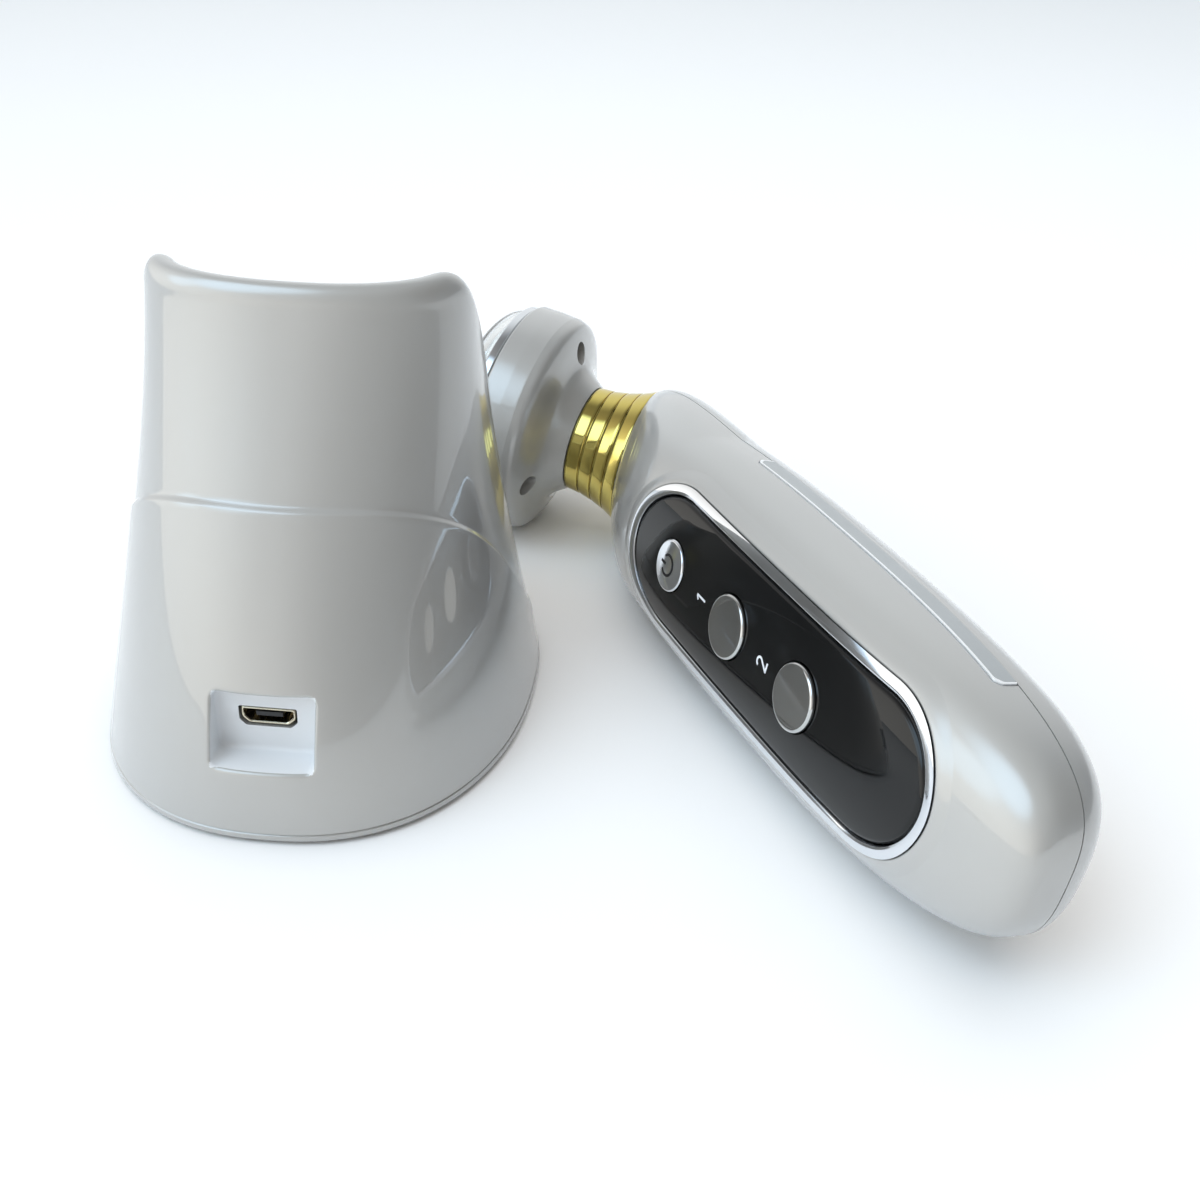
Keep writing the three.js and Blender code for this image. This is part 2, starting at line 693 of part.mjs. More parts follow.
function pogoBarrel() {
  return turned([
    [0, barrelTop - BARREL_LENGTH], [BARREL_RADIUS, barrelTop - BARREL_LENGTH],
    [BARREL_RADIUS, barrelTop - BARREL_FLANGE], [BARREL_FLANGE_RADIUS, barrelTop - BARREL_FLANGE],
    [BARREL_FLANGE_RADIUS, barrelTop], [BARREL_BORE, barrelTop],
    [BARREL_BORE, barrelTop - BARREL_LENGTH + 0.8], [0, barrelTop - BARREL_LENGTH + 0.8],
  ], 14);
}

function pogoPlunger() {
  const low = barrelTop - PLUNGER_INSIDE;
  const high = barrelTop + PLUNGER_PROUD;
  return turned([
    [0, low], [PLUNGER_RADIUS, low], [PLUNGER_RADIUS, high - PLUNGER_TIP],
    [PLUNGER_RADIUS * 0.7, high - PLUNGER_TIP / 4], [0, high],
  ], 12);
}

// Handpiece body form
const tilt = THREE.MathUtils.degToRad(HEAD_TILT);
const headAxis = new THREE.Vector3(0, Math.sin(tilt), Math.cos(tilt));
const headAcross = new THREE.Vector3(0, Math.cos(tilt), -Math.sin(tilt));
const neckHeadEnd = new THREE.Vector3(0, NECK_HEAD_END_Y, NECK_HEAD_END_Z);
const neckBodyEnd = neckHeadEnd.clone().addScaledVector(headAxis, -NECK_LENGTH);
const ringFront = neckBodyEnd.clone().addScaledVector(headAcross, NECK_BODY_RADIUS);
const ringRear = neckBodyEnd.clone().addScaledVector(headAcross, -NECK_BODY_RADIUS);

const sidePoint = (y, z) => new THREE.Vector3(0, y, z);
const frontProfile = new THREE.CubicBezierCurve3(
  sidePoint(FRONT_DEPTH, BEND_START_Z),
  sidePoint(FRONT_DEPTH, BEND_START_Z + BEND_FRONT_EASE[0]),
  sidePoint(ringFront.y + BEND_FRONT_EASE[1], ringFront.z - BEND_FRONT_EASE[2]),
  ringFront,
);
const rearProfile = new THREE.CubicBezierCurve3(
  sidePoint(-REAR_DEPTH, BEND_START_Z),
  sidePoint(-REAR_DEPTH - BEND_REAR_EASE[0], ringRear.z - BEND_REAR_EASE[1]),
  sidePoint(ringRear.y - BEND_REAR_EASE[2], ringRear.z - BEND_REAR_EASE[3]),
  ringRear,
);

const tailFall = (share, power) => Math.max(1 - share ** power, 0) ** (1 / power);

// Half sizes of the straight part of the body at a height z: to the side, to the front and to the rear.
function bodyHalves(z) {
  const toTail = Math.max(-z / -TAIL_Z, 0);
  const toBend = Math.max(z / BEND_START_Z, 0);
  const frontShare = Math.max((TAIL_Z + FRONT_TAIL_LENGTH - z) / FRONT_TAIL_LENGTH, 0);
  const rearShare = Math.max((TAIL_Z + REAR_TAIL_LENGTH - z) / REAR_TAIL_LENGTH, 0);
  const sag = FRONT_SAG * (Math.max(BEND_START_Z - z, 0) / (BEND_START_Z - TAIL_Z)) ** 2;
  return {
    side: BODY_HALF_WIDTH * tailFall(Math.min(toTail, 1), TAIL_POWER)
      - (BODY_HALF_WIDTH - BEND_START_HALF_WIDTH) * toBend ** 2,
    front: TIP_DEPTH + (FRONT_DEPTH - sag - TIP_DEPTH) * tailFall(Math.min(frontShare, 1), FRONT_TAIL_POWER),
    rear: TIP_DEPTH + (REAR_DEPTH - TIP_DEPTH) * tailFall(Math.min(rearShare, 1), REAR_TAIL_POWER),
  };
}

function bodyRing(front, rear, side, power, columns) {
  const middle = front.clone().add(rear).multiplyScalar(0.5);
  const half = front.clone().sub(rear).multiplyScalar(0.5);
  return Array.from({ length: columns }, (_, column) => {
    const angle = (column / columns) * 2 * Math.PI;
    return middle.clone()
      .addScaledVector(half, rounded(Math.sin(angle), power))
      .add(new THREE.Vector3(side * rounded(Math.cos(angle), power), 0, 0));
  });
}

// The whole body as one solid, grown outwards by a number of millimetres (or drawn in).
function bodySolid(growth, columns = BODY_COLUMNS, detail = 1, extraNeck = 0) {
  const rings = [];
  const tailSteps = Math.round(TAIL_STEPS * detail);
  const straightSteps = Math.round(STRAIGHT_STEPS * detail);
  const bendSteps = Math.round(BEND_STEPS * detail);
  const straightRing = (z, place) => {
    const halves = bodyHalves(z);
    rings.push(bodyRing(
      sidePoint(halves.front + growth, place), sidePoint(-halves.rear - growth, place),
      Math.max(halves.side + growth, 0.4), BODY_POWER, columns,
    ));
  };
  for (let step = 0; step <= tailSteps; step += 1) {
    const share = 1 - Math.cos((Math.max(step, 0.3) / tailSteps) * Math.PI / 2);
    const z = TAIL_Z + TAIL_RING_SPAN * share;
    straightRing(z, z - growth * (1 - share));
  }
  const tailEnd = TAIL_Z + TAIL_RING_SPAN;
  for (let step = 1; step <= straightSteps; step += 1) {
    const z = mixed(tailEnd, BEND_START_Z, step / straightSteps);
    straightRing(z, z);
  }
  for (let step = 1; step <= bendSteps; step += 1) {
    const share = step / bendSteps;
    const front = frontProfile.getPoint(share);
    const rear = rearProfile.getPoint(share);
    const outward = front.clone().sub(rear).setLength(growth);
    rings.push(bodyRing(
      front.add(outward), rear.sub(outward),
      mixed(BEND_START_HALF_WIDTH, NECK_BODY_RADIUS, share ** BEND_POWER) + growth,
      mixed(BODY_POWER, 2, share), columns,
    ));
  }
  if (extraNeck > 0) {
    rings.push(rings[rings.length - 1].map((point) => point.clone().addScaledVector(headAxis, extraNeck)));
  }
  return loft(rings);
}

// Places a solid that is turned about +Z onto the tilted head axis: height 0 is the neck's head end.
function onHeadAxis(solid) {
  const across = new THREE.Vector3(1, 0, 0);
  const matrix = new THREE.Matrix4().makeBasis(across, headAcross.clone().negate(), headAxis);
  matrix.setPosition(neckHeadEnd);
  return solid.transform(matrix.elements);
}

function panelOutline(growth) {
  const half = LENS_HALF_WIDTH + growth;
  const end = LENS_HALF_WIDTH * PANEL_END_STRETCH + growth;
  const shape = new THREE.Shape();
  shape.absellipse(0, -(PANEL_HEAD_Z + growth - end), half, end, Math.PI, 2 * Math.PI, false, 0);
  shape.absellipse(0, -(PANEL_TAIL_Z - growth + end), half, end, 0, Math.PI, false, 0);
  return shape;
}

// The panel outline pushed through the front of the body.
const panelColumn = (growth) => extrudeAlongY(panelOutline(growth), 0, REACH / 4, 8).mirror([0, 0, 1]);

const buttons = [
  { name: 'power_button', z: BUTTON_PITCH, radius: POWER_BUTTON_RADIUS },
  { name: 'mode_button_1', z: 0, radius: MODE_BUTTON_RADIUS },
  { name: 'mode_button_2', z: -BUTTON_PITCH, radius: MODE_BUTTON_RADIUS },
];
const frontAt = (z) => bodyHalves(z).front;
const panelFloorAt = (z) => frontAt(z) - PANEL_SEAT_DEPTH;
const trayBottomAt = (z) => panelFloorAt(z) - TRAY_FLOOR;
const buttonHoles = buttons.map(({ z, radius }) => rod(radius + BUTTON_CLEARANCE, 0, REACH / 4, 24)
  .rotate([-90, 0, 0]).translate([0, 0, z]));
const flangeRadius = (radius) => radius + BUTTON_CLEARANCE + BUTTON_FLANGE;
const buttonWells = buttons.map(({ z, radius }) => rod(flangeRadius(radius) + GAP, 0, trayBottomAt(z), 24)
  .rotate([-90, 0, 0]).translate([0, 0, z]));

const outerBody = bodySolid(0);
const cavity = bodySolid(-BODY_WALL, INSIDE_COLUMNS, INSIDE_DETAIL, 3);
const trimBase = bodySolid(-PANEL_SEAT_DEPTH, INSIDE_COLUMNS, INSIDE_DETAIL);

const frontHalf = boxSolid([-REACH, PARTING_Y + GAP / 2, -REACH], [REACH, REACH, REACH]);
const rearHalf = boxSolid([-REACH, -REACH, -REACH], [REACH, PARTING_Y - GAP / 2, REACH]);

// The collar inside the neck opening, which grips the head's spigot.
const collarEnd = -NECK_LENGTH - COLLAR_THICKNESS;
const collar = onHeadAxis(turned([
  [SPIGOT_RADIUS + GAP, collarEnd], [NECK_BODY_RADIUS - 0.8, collarEnd],
  [NECK_BODY_RADIUS - 0.8, -NECK_LENGTH], [SPIGOT_RADIUS + GAP, -NECK_LENGTH],
  [SPIGOT_RADIUS + GAP, collarEnd],
], 32)).intersect(outerBody);

const bodyShell = union(outerBody.subtract(cavity), collar);

// Two screws under the panel hold the halves together: sleeves in the front half, posts in the rear half.
const bodyScrewPlaces = [BODY_SCREW_HEAD_Z, BODY_SCREW_TAIL_Z];
const bodyScrewTopAt = (z) => panelFloorAt(z) - GAP;
const mirrorX = (solid) => solid.mirror([1, 0, 0]);
const upright = (solid, z) => solid.rotate([-90, 0, 0]).translate([0, 0, z]);

function frontShell() {
  const tray = panelColumn(BEZEL_WIDTH + GAP + TRAY_RIM)
    .intersect(bodySolid(-1, INSIDE_COLUMNS, INSIDE_DETAIL))
    .subtract(bodySolid(-PANEL_SEAT_DEPTH - TRAY_FLOOR, INSIDE_COLUMNS, INSIDE_DETAIL));
  const recess = panelColumn(BEZEL_WIDTH + GAP).subtract(trimBase);
  const sleeves = bodyScrewPlaces.map((z) => upright(
    rod(BODY_SCREW_HEAD_RADIUS + GAP + BODY_SCREW_RIM, BODY_POST_TOP_Y + GAP, panelFloorAt(z), 16), z,
  ));
  const sinks = bodyScrewPlaces.map((z) => upright(union(
    rod(BODY_SCREW_HEAD_RADIUS + GAP, bodyScrewTopAt(z) - BODY_SCREW_HEAD_THICKNESS - GAP, FRONT_DEPTH, 14),
    rod(BODY_SCREW_SHANK_RADIUS + GAP, 0, FRONT_DEPTH, 12),
  ), z));
  const half = union(bodyShell, tray).intersect(frontHalf);
  const stripPocket = stripBlank(GAP, PARTING_Y - 1).subtract(bodySolid(-STRIP_SINK - GAP));
  const cuts = [recess, stripPocket, mirrorX(stripPocket), ...sinks, ...buttonHoles, ...buttonWells];
  return without(union(half, ...sleeves), ...cuts);
}

const panelBack = bodySolid(-PANEL_THICKNESS, INSIDE_COLUMNS, INSIDE_DETAIL);

function panelBezel() {
  const blank = panelColumn(BEZEL_WIDTH).subtract(panelColumn(GAP / 2));
  return blank.intersect(bodySolid(BEZEL_PROUD)).subtract(panelBack);
}

function panelLens() {
  const sheet = panelColumn(-GAP / 2).intersect(bodySolid(LENS_PROUD)).subtract(panelBack);
  return without(sheet, ...buttonHoles);
}

const buttonFootAt = (z) => trayBottomAt(z) - GAP - BUTTON_FLANGE_THICKNESS;

function pushButton(radius, z) {
  const top = frontAt(z) + BUTTON_PROUD;
  const foot = buttonFootAt(z);
  const shoulder = foot + BUTTON_FLANGE_THICKNESS;
  const flange = flangeRadius(radius);
  return upright(turned([
    [0, foot], [flange, foot], [flange, shoulder], [radius, shoulder], [radius, top - BUTTON_EDGE],
    [radius - BUTTON_EDGE * 0.3, top - BUTTON_EDGE * 0.24], [radius - BUTTON_EDGE, top],
    [radius - 2 * BUTTON_EDGE, top - BUTTON_DISH], [0, top - BUTTON_DISH],
  ], 24), z);
}

function tactSwitch(z) {
  const switchTop = buttonFootAt(z) - BUTTON_TRAVEL - GAP / 2;
  const half = SWITCH_SIZE / 2;
  const body = boxSolid([-half, BOARD_TOP_Y + GAP / 2, z - half], [half, switchTop - SWITCH_NUB, z + half]);
  const nub = upright(rod(SWITCH_NUB_RADIUS, switchTop - 2 * SWITCH_NUB, switchTop, 16), z);
  return body.add(nub);
}

// The strip's outline seen from the side, in y and z. It reaches from the parting line towards the panel.
function stripBlank(growth, far) {
  const near = PARTING_Y + GAP / 2 + STRIP_WIDTH + growth;
  const head = STRIP_HEAD_Z + growth;
  const tail = STRIP_TAIL_Z - growth;
  const shape = new THREE.Shape();
  shape.moveTo(near, tail + STRIP_CHAMFER);
  shape.lineTo(near, head - STRIP_CHAMFER);
  shape.lineTo(near - STRIP_CHAMFER, head);
  shape.lineTo(far, head);
  shape.lineTo(far, tail);
  shape.lineTo(near - STRIP_CHAMFER, tail);
  const geometry = new THREE.ExtrudeGeometry(shape, { depth: REACH / 4, bevelEnabled: false });
  geometry.rotateY(Math.PI / 2);
  geometry.rotateX(Math.PI / 2);
  return solidOf(geometry);
}

function sideStrip() {
  const blank = stripBlank(0, PARTING_Y + GAP / 2);
  return blank.intersect(bodySolid(STRIP_PROUD)).subtract(bodySolid(-STRIP_SINK));
}

const padPlaces = [-1, 1].map((side) => side * CONTACT_SPACING / 2);
const padColumn = (x, radius) => rod(radius, TAIL_Z - 1, TAIL_Z + TAIL_PAD_REACH, 14)
  .translate([x, -CONTACT_BACK, 0]);
const padSkin = bodySolid(-TAIL_PAD_SINK - GAP);

function tailContact(x) {
  return padColumn(x, TAIL_PAD_RADIUS).intersect(outerBody).subtract(bodySolid(-TAIL_PAD_SINK));
}

function bodyScrew(z) {
  const screw = crossHeadScrew(
    BODY_SCREW_HEAD_RADIUS, BODY_SCREW_HEAD_THICKNESS, BODY_SCREW_SHANK_RADIUS, BODY_SCREW_LENGTH,
  );
  return screw.rotate([90, 0, 0]).translate([0, bodyScrewTopAt(z), z]);
}

const boardLow = BOARD_TOP_Y - BOARD_THICKNESS;
const motorEnd = MOTOR_START_Z + MOTOR_LENGTH;

function rearShell() {
  const inside = bodySolid(-BODY_WALL + 0.4, INSIDE_COLUMNS, INSIDE_DETAIL);
  const ribAt = (z, halfWidth, topY) => boxSolid(
    [-halfWidth, -REAR_DEPTH, z - RIB_THICKNESS / 2], [halfWidth, topY, z + RIB_THICKNESS / 2],
  ).intersect(inside);
  const batteryRibs = [-1, 1].map((side) => ribAt(
    BATTERY_CENTRE_Z + side * BATTERY_LENGTH / 3, BATTERY_WIDTH / 2, BATTERY_SEAT_Y - GAP,
  ));
  const motorRoom = rod(MOTOR_RADIUS + GAP, MOTOR_START_Z - 5, motorEnd + 5, 24).translate([0, MOTOR_Y, 0]);
  const motorRibs = [0.25, 0.75].map((share) => ribAt(
    mixed(MOTOR_START_Z, motorEnd, share), MOTOR_RADIUS + 2.4, MOTOR_Y,
  ));
  const boardPosts = [BOARD_TAIL_Z + 2.5, BOARD_HEAD_Z - 3].map((z) => upright(
    rod(1.8, -REAR_DEPTH, boardLow - GAP, 12), z,
  ).intersect(inside));
  const screwPosts = bodyScrewPlaces.map((z) => upright(
    rod(BODY_POST_RADIUS, -REAR_DEPTH, BODY_POST_TOP_Y, 14), z,
  ).intersect(inside));
  const screwHoles = bodyScrewPlaces.map((z) => upright(
    rod(BODY_SCREW_SHANK_RADIUS + GAP / 2, bodyScrewTopAt(z) - BODY_SCREW_LENGTH - 1, FRONT_DEPTH, 12), z,
  ));
  const pads = padPlaces.map((x) => padColumn(x, TAIL_PAD_RADIUS + GAP).subtract(padSkin));
  const shell = union(
    bodyShell.intersect(rearHalf), ...batteryRibs, ...motorRibs, ...boardPosts, ...screwPosts,
  );
  return without(shell, motorRoom, ...pads, ...screwHoles);
}

// Neck sleeve: four bands parted by grooves on a waisted cone
const neckRadiusAt = (share) => mixed(NECK_HEAD_RADIUS, NECK_BODY_RADIUS, share ** NECK_WAIST_POWER);

function neckSleeve() {
  const bandLength = NECK_LENGTH / NECK_BANDS;
  const profile = [[SPIGOT_RADIUS + GAP, -NECK_LENGTH + GAP]];
  for (let band = NECK_BANDS; band > 0; band -= 1) {
    const low = band === NECK_BANDS ? GAP : GROOVE_WIDTH / 2;
    const high = band === 1 ? 0 : GROOVE_WIDTH / 2;
    const start = -band * bandLength + low;
    const end = -(band - 1) * bandLength - high;
    [start, end].forEach((height) => profile.push([neckRadiusAt(-height / NECK_LENGTH), height]));
    if (band > 1) {
      const grooveHeight = -(band - 1) * bandLength;
      profile.push([neckRadiusAt(-grooveHeight / NECK_LENGTH) - GROOVE_DEPTH, grooveHeight]);
    }
  }
  profile.push([SPIGOT_RADIUS + GAP, 0], [SPIGOT_RADIUS + GAP, -NECK_LENGTH + GAP]);
  return onHeadAxis(turned(profile, HEAD_COLUMNS));
}

// Head: the back flares from the neck to a flat-edged disc
const headBack = new THREE.SplineCurve([
  new THREE.Vector2(NECK_HEAD_RADIUS, GAP),
  ...HEAD_BACK.map(([inset, height]) => new THREE.Vector2(HEAD_RADIUS - inset, height)),
]);

const screwAngles = [180, 60, -60].map((degrees) => THREE.MathUtils.degToRad(degrees));
const onScrewCircle = (solid, angle) => solid.translate(
  [HEAD_SCREW_CIRCLE * Math.cos(angle), HEAD_SCREW_CIRCLE * Math.sin(angle), 0],
);

function headHousing() {
  const back = headBack.getPoints(7).map((point) => [point.x, point.y]);
  const spigotEnd = -SPIGOT_LENGTH;
  const blank = turned([
    [SPIGOT_BORE, spigotEnd], [SPIGOT_RADIUS, spigotEnd], [SPIGOT_RADIUS, GAP],
    ...back, [HEAD_RADIUS, HEAD_BAND_START], [HEAD_RADIUS, HEAD_BAND_END - HEAD_EDGE],
    [HEAD_RADIUS - HEAD_EDGE, HEAD_BAND_END],
    [HEAD_RADIUS - HEAD_WALL, HEAD_BAND_END],
    ...HEAD_HOLLOW.map(([inset, height]) => [HEAD_RADIUS - inset, height]),
    [SPIGOT_BORE, 1], [SPIGOT_BORE, spigotEnd],
  ], HEAD_COLUMNS);
  const boss = rod(HEAD_BOSS_RADIUS, HEAD_RECESS_FLOOR - 2, HEAD_BOSS_END);
  const bosses = screwAngles.map((angle) => onScrewCircle(boss, angle));
  const recesses = screwAngles.map((angle) => onScrewCircle(union(
    rod(HEAD_RECESS_RADIUS, -5, HEAD_RECESS_FLOOR), rod(HEAD_SCREW_SHANK + GAP, 0, REACH / 8),
  ), angle));
  return onHeadAxis(without(union(blank, ...bosses), ...recesses));
}

function headScrew(angle) {
  const screw = crossHeadScrew(
    HEAD_SCREW_RADIUS, HEAD_SCREW_HEAD, HEAD_SCREW_SHANK, HEAD_SCREW_HEAD + HEAD_SCREW_SHANK_LENGTH,
  ).translate([0, 0, HEAD_RECESS_FLOOR - HEAD_SCREW_HEAD - GAP / 2]);
  return onHeadAxis(onScrewCircle(screw, angle));
}

const ringStart = HEAD_BAND_END + GAP;
const ringEnd = ringStart + RING_THICKNESS;

function headRing() {
  const inner = LENS_EDGE_RADIUS - 3;
  return onHeadAxis(turned([
    [inner, ringStart], [RING_RADIUS, ringStart], [RING_RADIUS, ringEnd - 0.4], [RING_RADIUS - 0.4, ringEnd],
    [inner, ringEnd], [inner, ringStart],
  ], HEAD_COLUMNS));
}

const lensStart = ringEnd + GAP;
const lensShape = (radius, start, apex) => new THREE.CubicBezierCurve(
  new THREE.Vector2(radius, start),
  new THREE.Vector2(radius, mixed(start, apex, 0.72)),
  new THREE.Vector2(radius * 0.62, apex),
  new THREE.Vector2(0, apex),
);
const lensOuter = lensShape(LENS_EDGE_RADIUS, lensStart, LENS_APEX);
const lensInner = lensShape(LENS_EDGE_RADIUS - LENS_WALL, lensStart, LENS_APEX - LENS_WALL);
const electrodeAngles = [45, 135, 225, 315].map((degrees) => THREE.MathUtils.degToRad(degrees));
const onElectrodeCircle = (solid, angle) => solid.translate(
  [ELECTRODE_CIRCLE * Math.cos(angle), ELECTRODE_CIRCLE * Math.sin(angle), 0],
);

function headLens() {
  const points = (curve) => curve.getPoints(5).map((point) => [point.x, point.y]);
  const profile = [...points(lensOuter), ...points(lensInner).reverse()];
  const dome = turned([...profile, profile[0]], HEAD_COLUMNS);
  const hole = rod(ELECTRODE_RADIUS + GAP, 0, REACH / 4, 18);
  const holes = electrodeAngles.map((angle) => onElectrodeCircle(hole, angle));
  return onHeadAxis(without(dome, ...holes));
}

const ledBoardLow = HEAD_BOSS_END + GAP;
const ledBoardTop = ledBoardLow + LED_BOARD_THICKNESS;

function ledBoard() {
  const board = rod(LED_BOARD_RADIUS, ledBoardLow, ledBoardTop, HEAD_COLUMNS);
  const half = LAMP_SIZE / 2;
  const lamp = boxSolid([-half, -half, ledBoardTop - 0.2], [half, half, ledBoardTop + LAMP_HEIGHT]);
  const lamps = Array.from({ length: LAMP_COUNT }, (_, index) => lamp
    .translate([LAMP_CIRCLE, 0, 0]).rotate([0, 0, (index * 360) / LAMP_COUNT]));
  return onHeadAxis(union(board, lamp, ...lamps));
}

// The height of the lens above the electrode circle.
function lensHeightAt(radius) {
  let low = 0;
  let high = 1;
  for (let turn = 0; turn < 24; turn += 1) {
    const middle = (low + high) / 2;
    if (lensOuter.getPoint(middle).x > radius) low = middle;
    else high = middle;
  }
  return lensOuter.getPoint(low).y;
}

function headElectrode(angle) {
  const top = lensHeightAt(ELECTRODE_CIRCLE) + ELECTRODE_PROUD;
  const pin = turned([
    [0, ledBoardTop + GAP / 2], [1.2, ledBoardTop + GAP / 2], [1.2, top - 4], [ELECTRODE_RADIUS, top - 3.4],
    [ELECTRODE_RADIUS, top - 0.7], [ELECTRODE_RADIUS * 0.8, top - 0.15], [0, top],
  ], 18);
  return onHeadAxis(onElectrodeCircle(pin, angle));
}

// Inside the body
function mainBoard() {
  const shape = roundedRectangle(BOARD_HALF_WIDTH, -BOARD_HEAD_Z, -BOARD_TAIL_Z, 2.5);
  return extrudeAlongY(shape, boardLow, BOARD_TOP_Y, 4).mirror([0, 0, 1]);
}

function batteryCell() {
  const half = BATTERY_LENGTH / 2;
  const shape = roundedRectangle(BATTERY_WIDTH / 2, -half, half, 1.2);
  return extrudeAlongY(shape, BATTERY_SEAT_Y, BATTERY_SEAT_Y + BATTERY_THICKNESS, 3)
    .translate([0, 0, BATTERY_CENTRE_Z]);
}

function motorCan() {
  const can = rod(MOTOR_RADIUS, MOTOR_START_Z, motorEnd, 24);
  const bore = rod(MOTOR_SHAFT_RADIUS + GAP, motorEnd - 3, motorEnd + 1, 16);
  return can.subtract(bore).translate([0, MOTOR_Y, 0]);
}

function motorWeight() {
  const start = motorEnd + WEIGHT_GAP;
  const disc = rod(WEIGHT_RADIUS, start, start + WEIGHT_LENGTH, 28);
  const away = boxSolid([-REACH, 0.9, 0], [REACH, REACH, REACH]);
  const shaft = rod(MOTOR_SHAFT_RADIUS, motorEnd - 2.4, start + WEIGHT_LENGTH, 12);
  return disc.subtract(away).add(shaft).translate([0, MOTOR_Y, 0]);
}

// Assembly
function named(name, solid, material) {
  const mesh = new THREE.Mesh(geometryOf(solid), material);
  mesh.name = name;
  return mesh;
}

const stand = new THREE.Group();
stand.add(named('stand_shell', standShell(), pearl));
stand.add(named('stand_liner', standLiner(), palePlastic));
stand.add(named('base_cover', baseCover(), pearl));
stand.add(named('base_mat', baseMat(), blackRubber));
stand.add(named('ballast_plate', ballastPlate(), steel));
stand.add(named('charge_board', chargeBoard(), boardGreen));
stand.add(named('usb_shell', usbShell(), nickel));
stand.add(named('usb_tongue', usbTongue(), blackRubber));
coverScrewPlaces.forEach(([x, y], index) => {
  const blank = crossHeadScrew(SCREW_HEAD_RADIUS, SCREW_HEAD_THICKNESS, SCREW_SHANK_RADIUS, SCREW_LENGTH);
  const screw = named(`cover_screw_${index + 1}`, blank, steel);
  screw.position.set(x, y, MAT_PROUD + GAP / 2);
  stand.add(screw);
});
['left', 'right'].forEach((side, index) => {
  const x = padPlaces[index];
  const barrel = named(`pogo_barrel_${side}`, pogoBarrel(), gold);
  const plunger = named(`pogo_plunger_${side}`, pogoPlunger(), gold);
  barrel.position.set(x, contactY, 0);
  plunger.position.set(x, contactY, 0);
  stand.add(barrel, plunger);
});

const handpiece = new THREE.Group();
handpiece.add(named('front_shell', frontShell(), pearl));
handpiece.add(named('rear_shell', rearShell(), pearl));
handpiece.add(named('panel_bezel', panelBezel(), chrome));
handpiece.add(named('panel_lens', panelLens(), blackGloss));
buttons.forEach(({ name, z, radius }, index) => {
  handpiece.add(named(name, pushButton(radius, z), chrome));
  handpiece.add(named(`tact_switch_${index + 1}`, tactSwitch(z), blackRubber));
});
handpiece.add(named('side_strip_left', mirrorX(sideStrip()), satinMetal));
handpiece.add(named('side_strip_right', sideStrip(), satinMetal));
['left', 'right'].forEach((side, index) => {
  handpiece.add(named(`tail_contact_${side}`, tailContact(padPlaces[index]), gold));
});
handpiece.add(named('neck_sleeve', neckSleeve(), gold));
handpiece.add(named('head_housing', headHousing(), pearl));
handpiece.add(named('head_ring', headRing(), chrome));
handpiece.add(named('head_lens', headLens(), clearPlastic));
handpiece.add(named('led_board', ledBoard(), boardGreen));
electrodeAngles.forEach((angle, index) => {
  handpiece.add(named(`head_electrode_${index + 1}`, headElectrode(angle), chrome));
});
screwAngles.forEach((angle, index) => {
  handpiece.add(named(`head_screw_${index + 1}`, headScrew(angle), steel));
});
bodyScrewPlaces.forEach((z, index) => {
  handpiece.add(named(`body_screw_${index + 1}`, bodyScrew(z), steel));
});
handpiece.add(named('main_board', mainBoard(), boardGreen));
handpiece.add(named('battery_cell', batteryCell(), batteryBlue));
handpiece.add(named('motor_can', motorCan(), steel));
handpiece.add(named('motor_weight', motorWeight(), steel));

// Lay the handpiece on its side, its panel towards the stand's rear left, so that it just touches the table.
const radians = THREE.MathUtils.degToRad;
const towardsHead = new THREE.Vector3(
  -Math.sin(radians(LYING_YAW)) * Math.cos(radians(LYING_PITCH)),
  Math.cos(radians(LYING_YAW)) * Math.cos(radians(LYING_PITCH)),
  Math.sin(radians(LYING_PITCH)),
);
const level = new THREE.Vector3().crossVectors(new THREE.Vector3(0, 0, 1), towardsHead).normalize();
const upwards = new THREE.Vector3().crossVectors(towardsHead, level);
const outOfPanel = level.clone().multiplyScalar(Math.cos(radians(LYING_ROLL)))
  .addScaledVector(upwards, Math.sin(radians(LYING_ROLL)));
const acrossBody = new THREE.Vector3().crossVectors(outOfPanel, towardsHead);
handpiece.setRotationFromMatrix(new THREE.Matrix4().makeBasis(acrossBody, outOfPanel, towardsHead));
handpiece.position.set(LYING_X, LYING_Y, 0);
handpiece.updateMatrixWorld(true);
const lowest = new THREE.Box3().setFromObject(handpiece, true).min.z;
handpiece.position.z = TABLE_CLEARANCE - lowest;

const massager = new THREE.Group();
massager.add(stand, handpiece);

export default massager;
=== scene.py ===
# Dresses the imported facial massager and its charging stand: fine surfaces, finishes, light and camera.
# Lengths in this script are millimetres in the part's frame, and MM turns them into Blender's metres.
import json
import math

import bpy
import numpy as np
from mathutils import Matrix, Vector
from mathutils.bvhtree import BVHTree
from mathutils.interpolate import poly_3d_calc


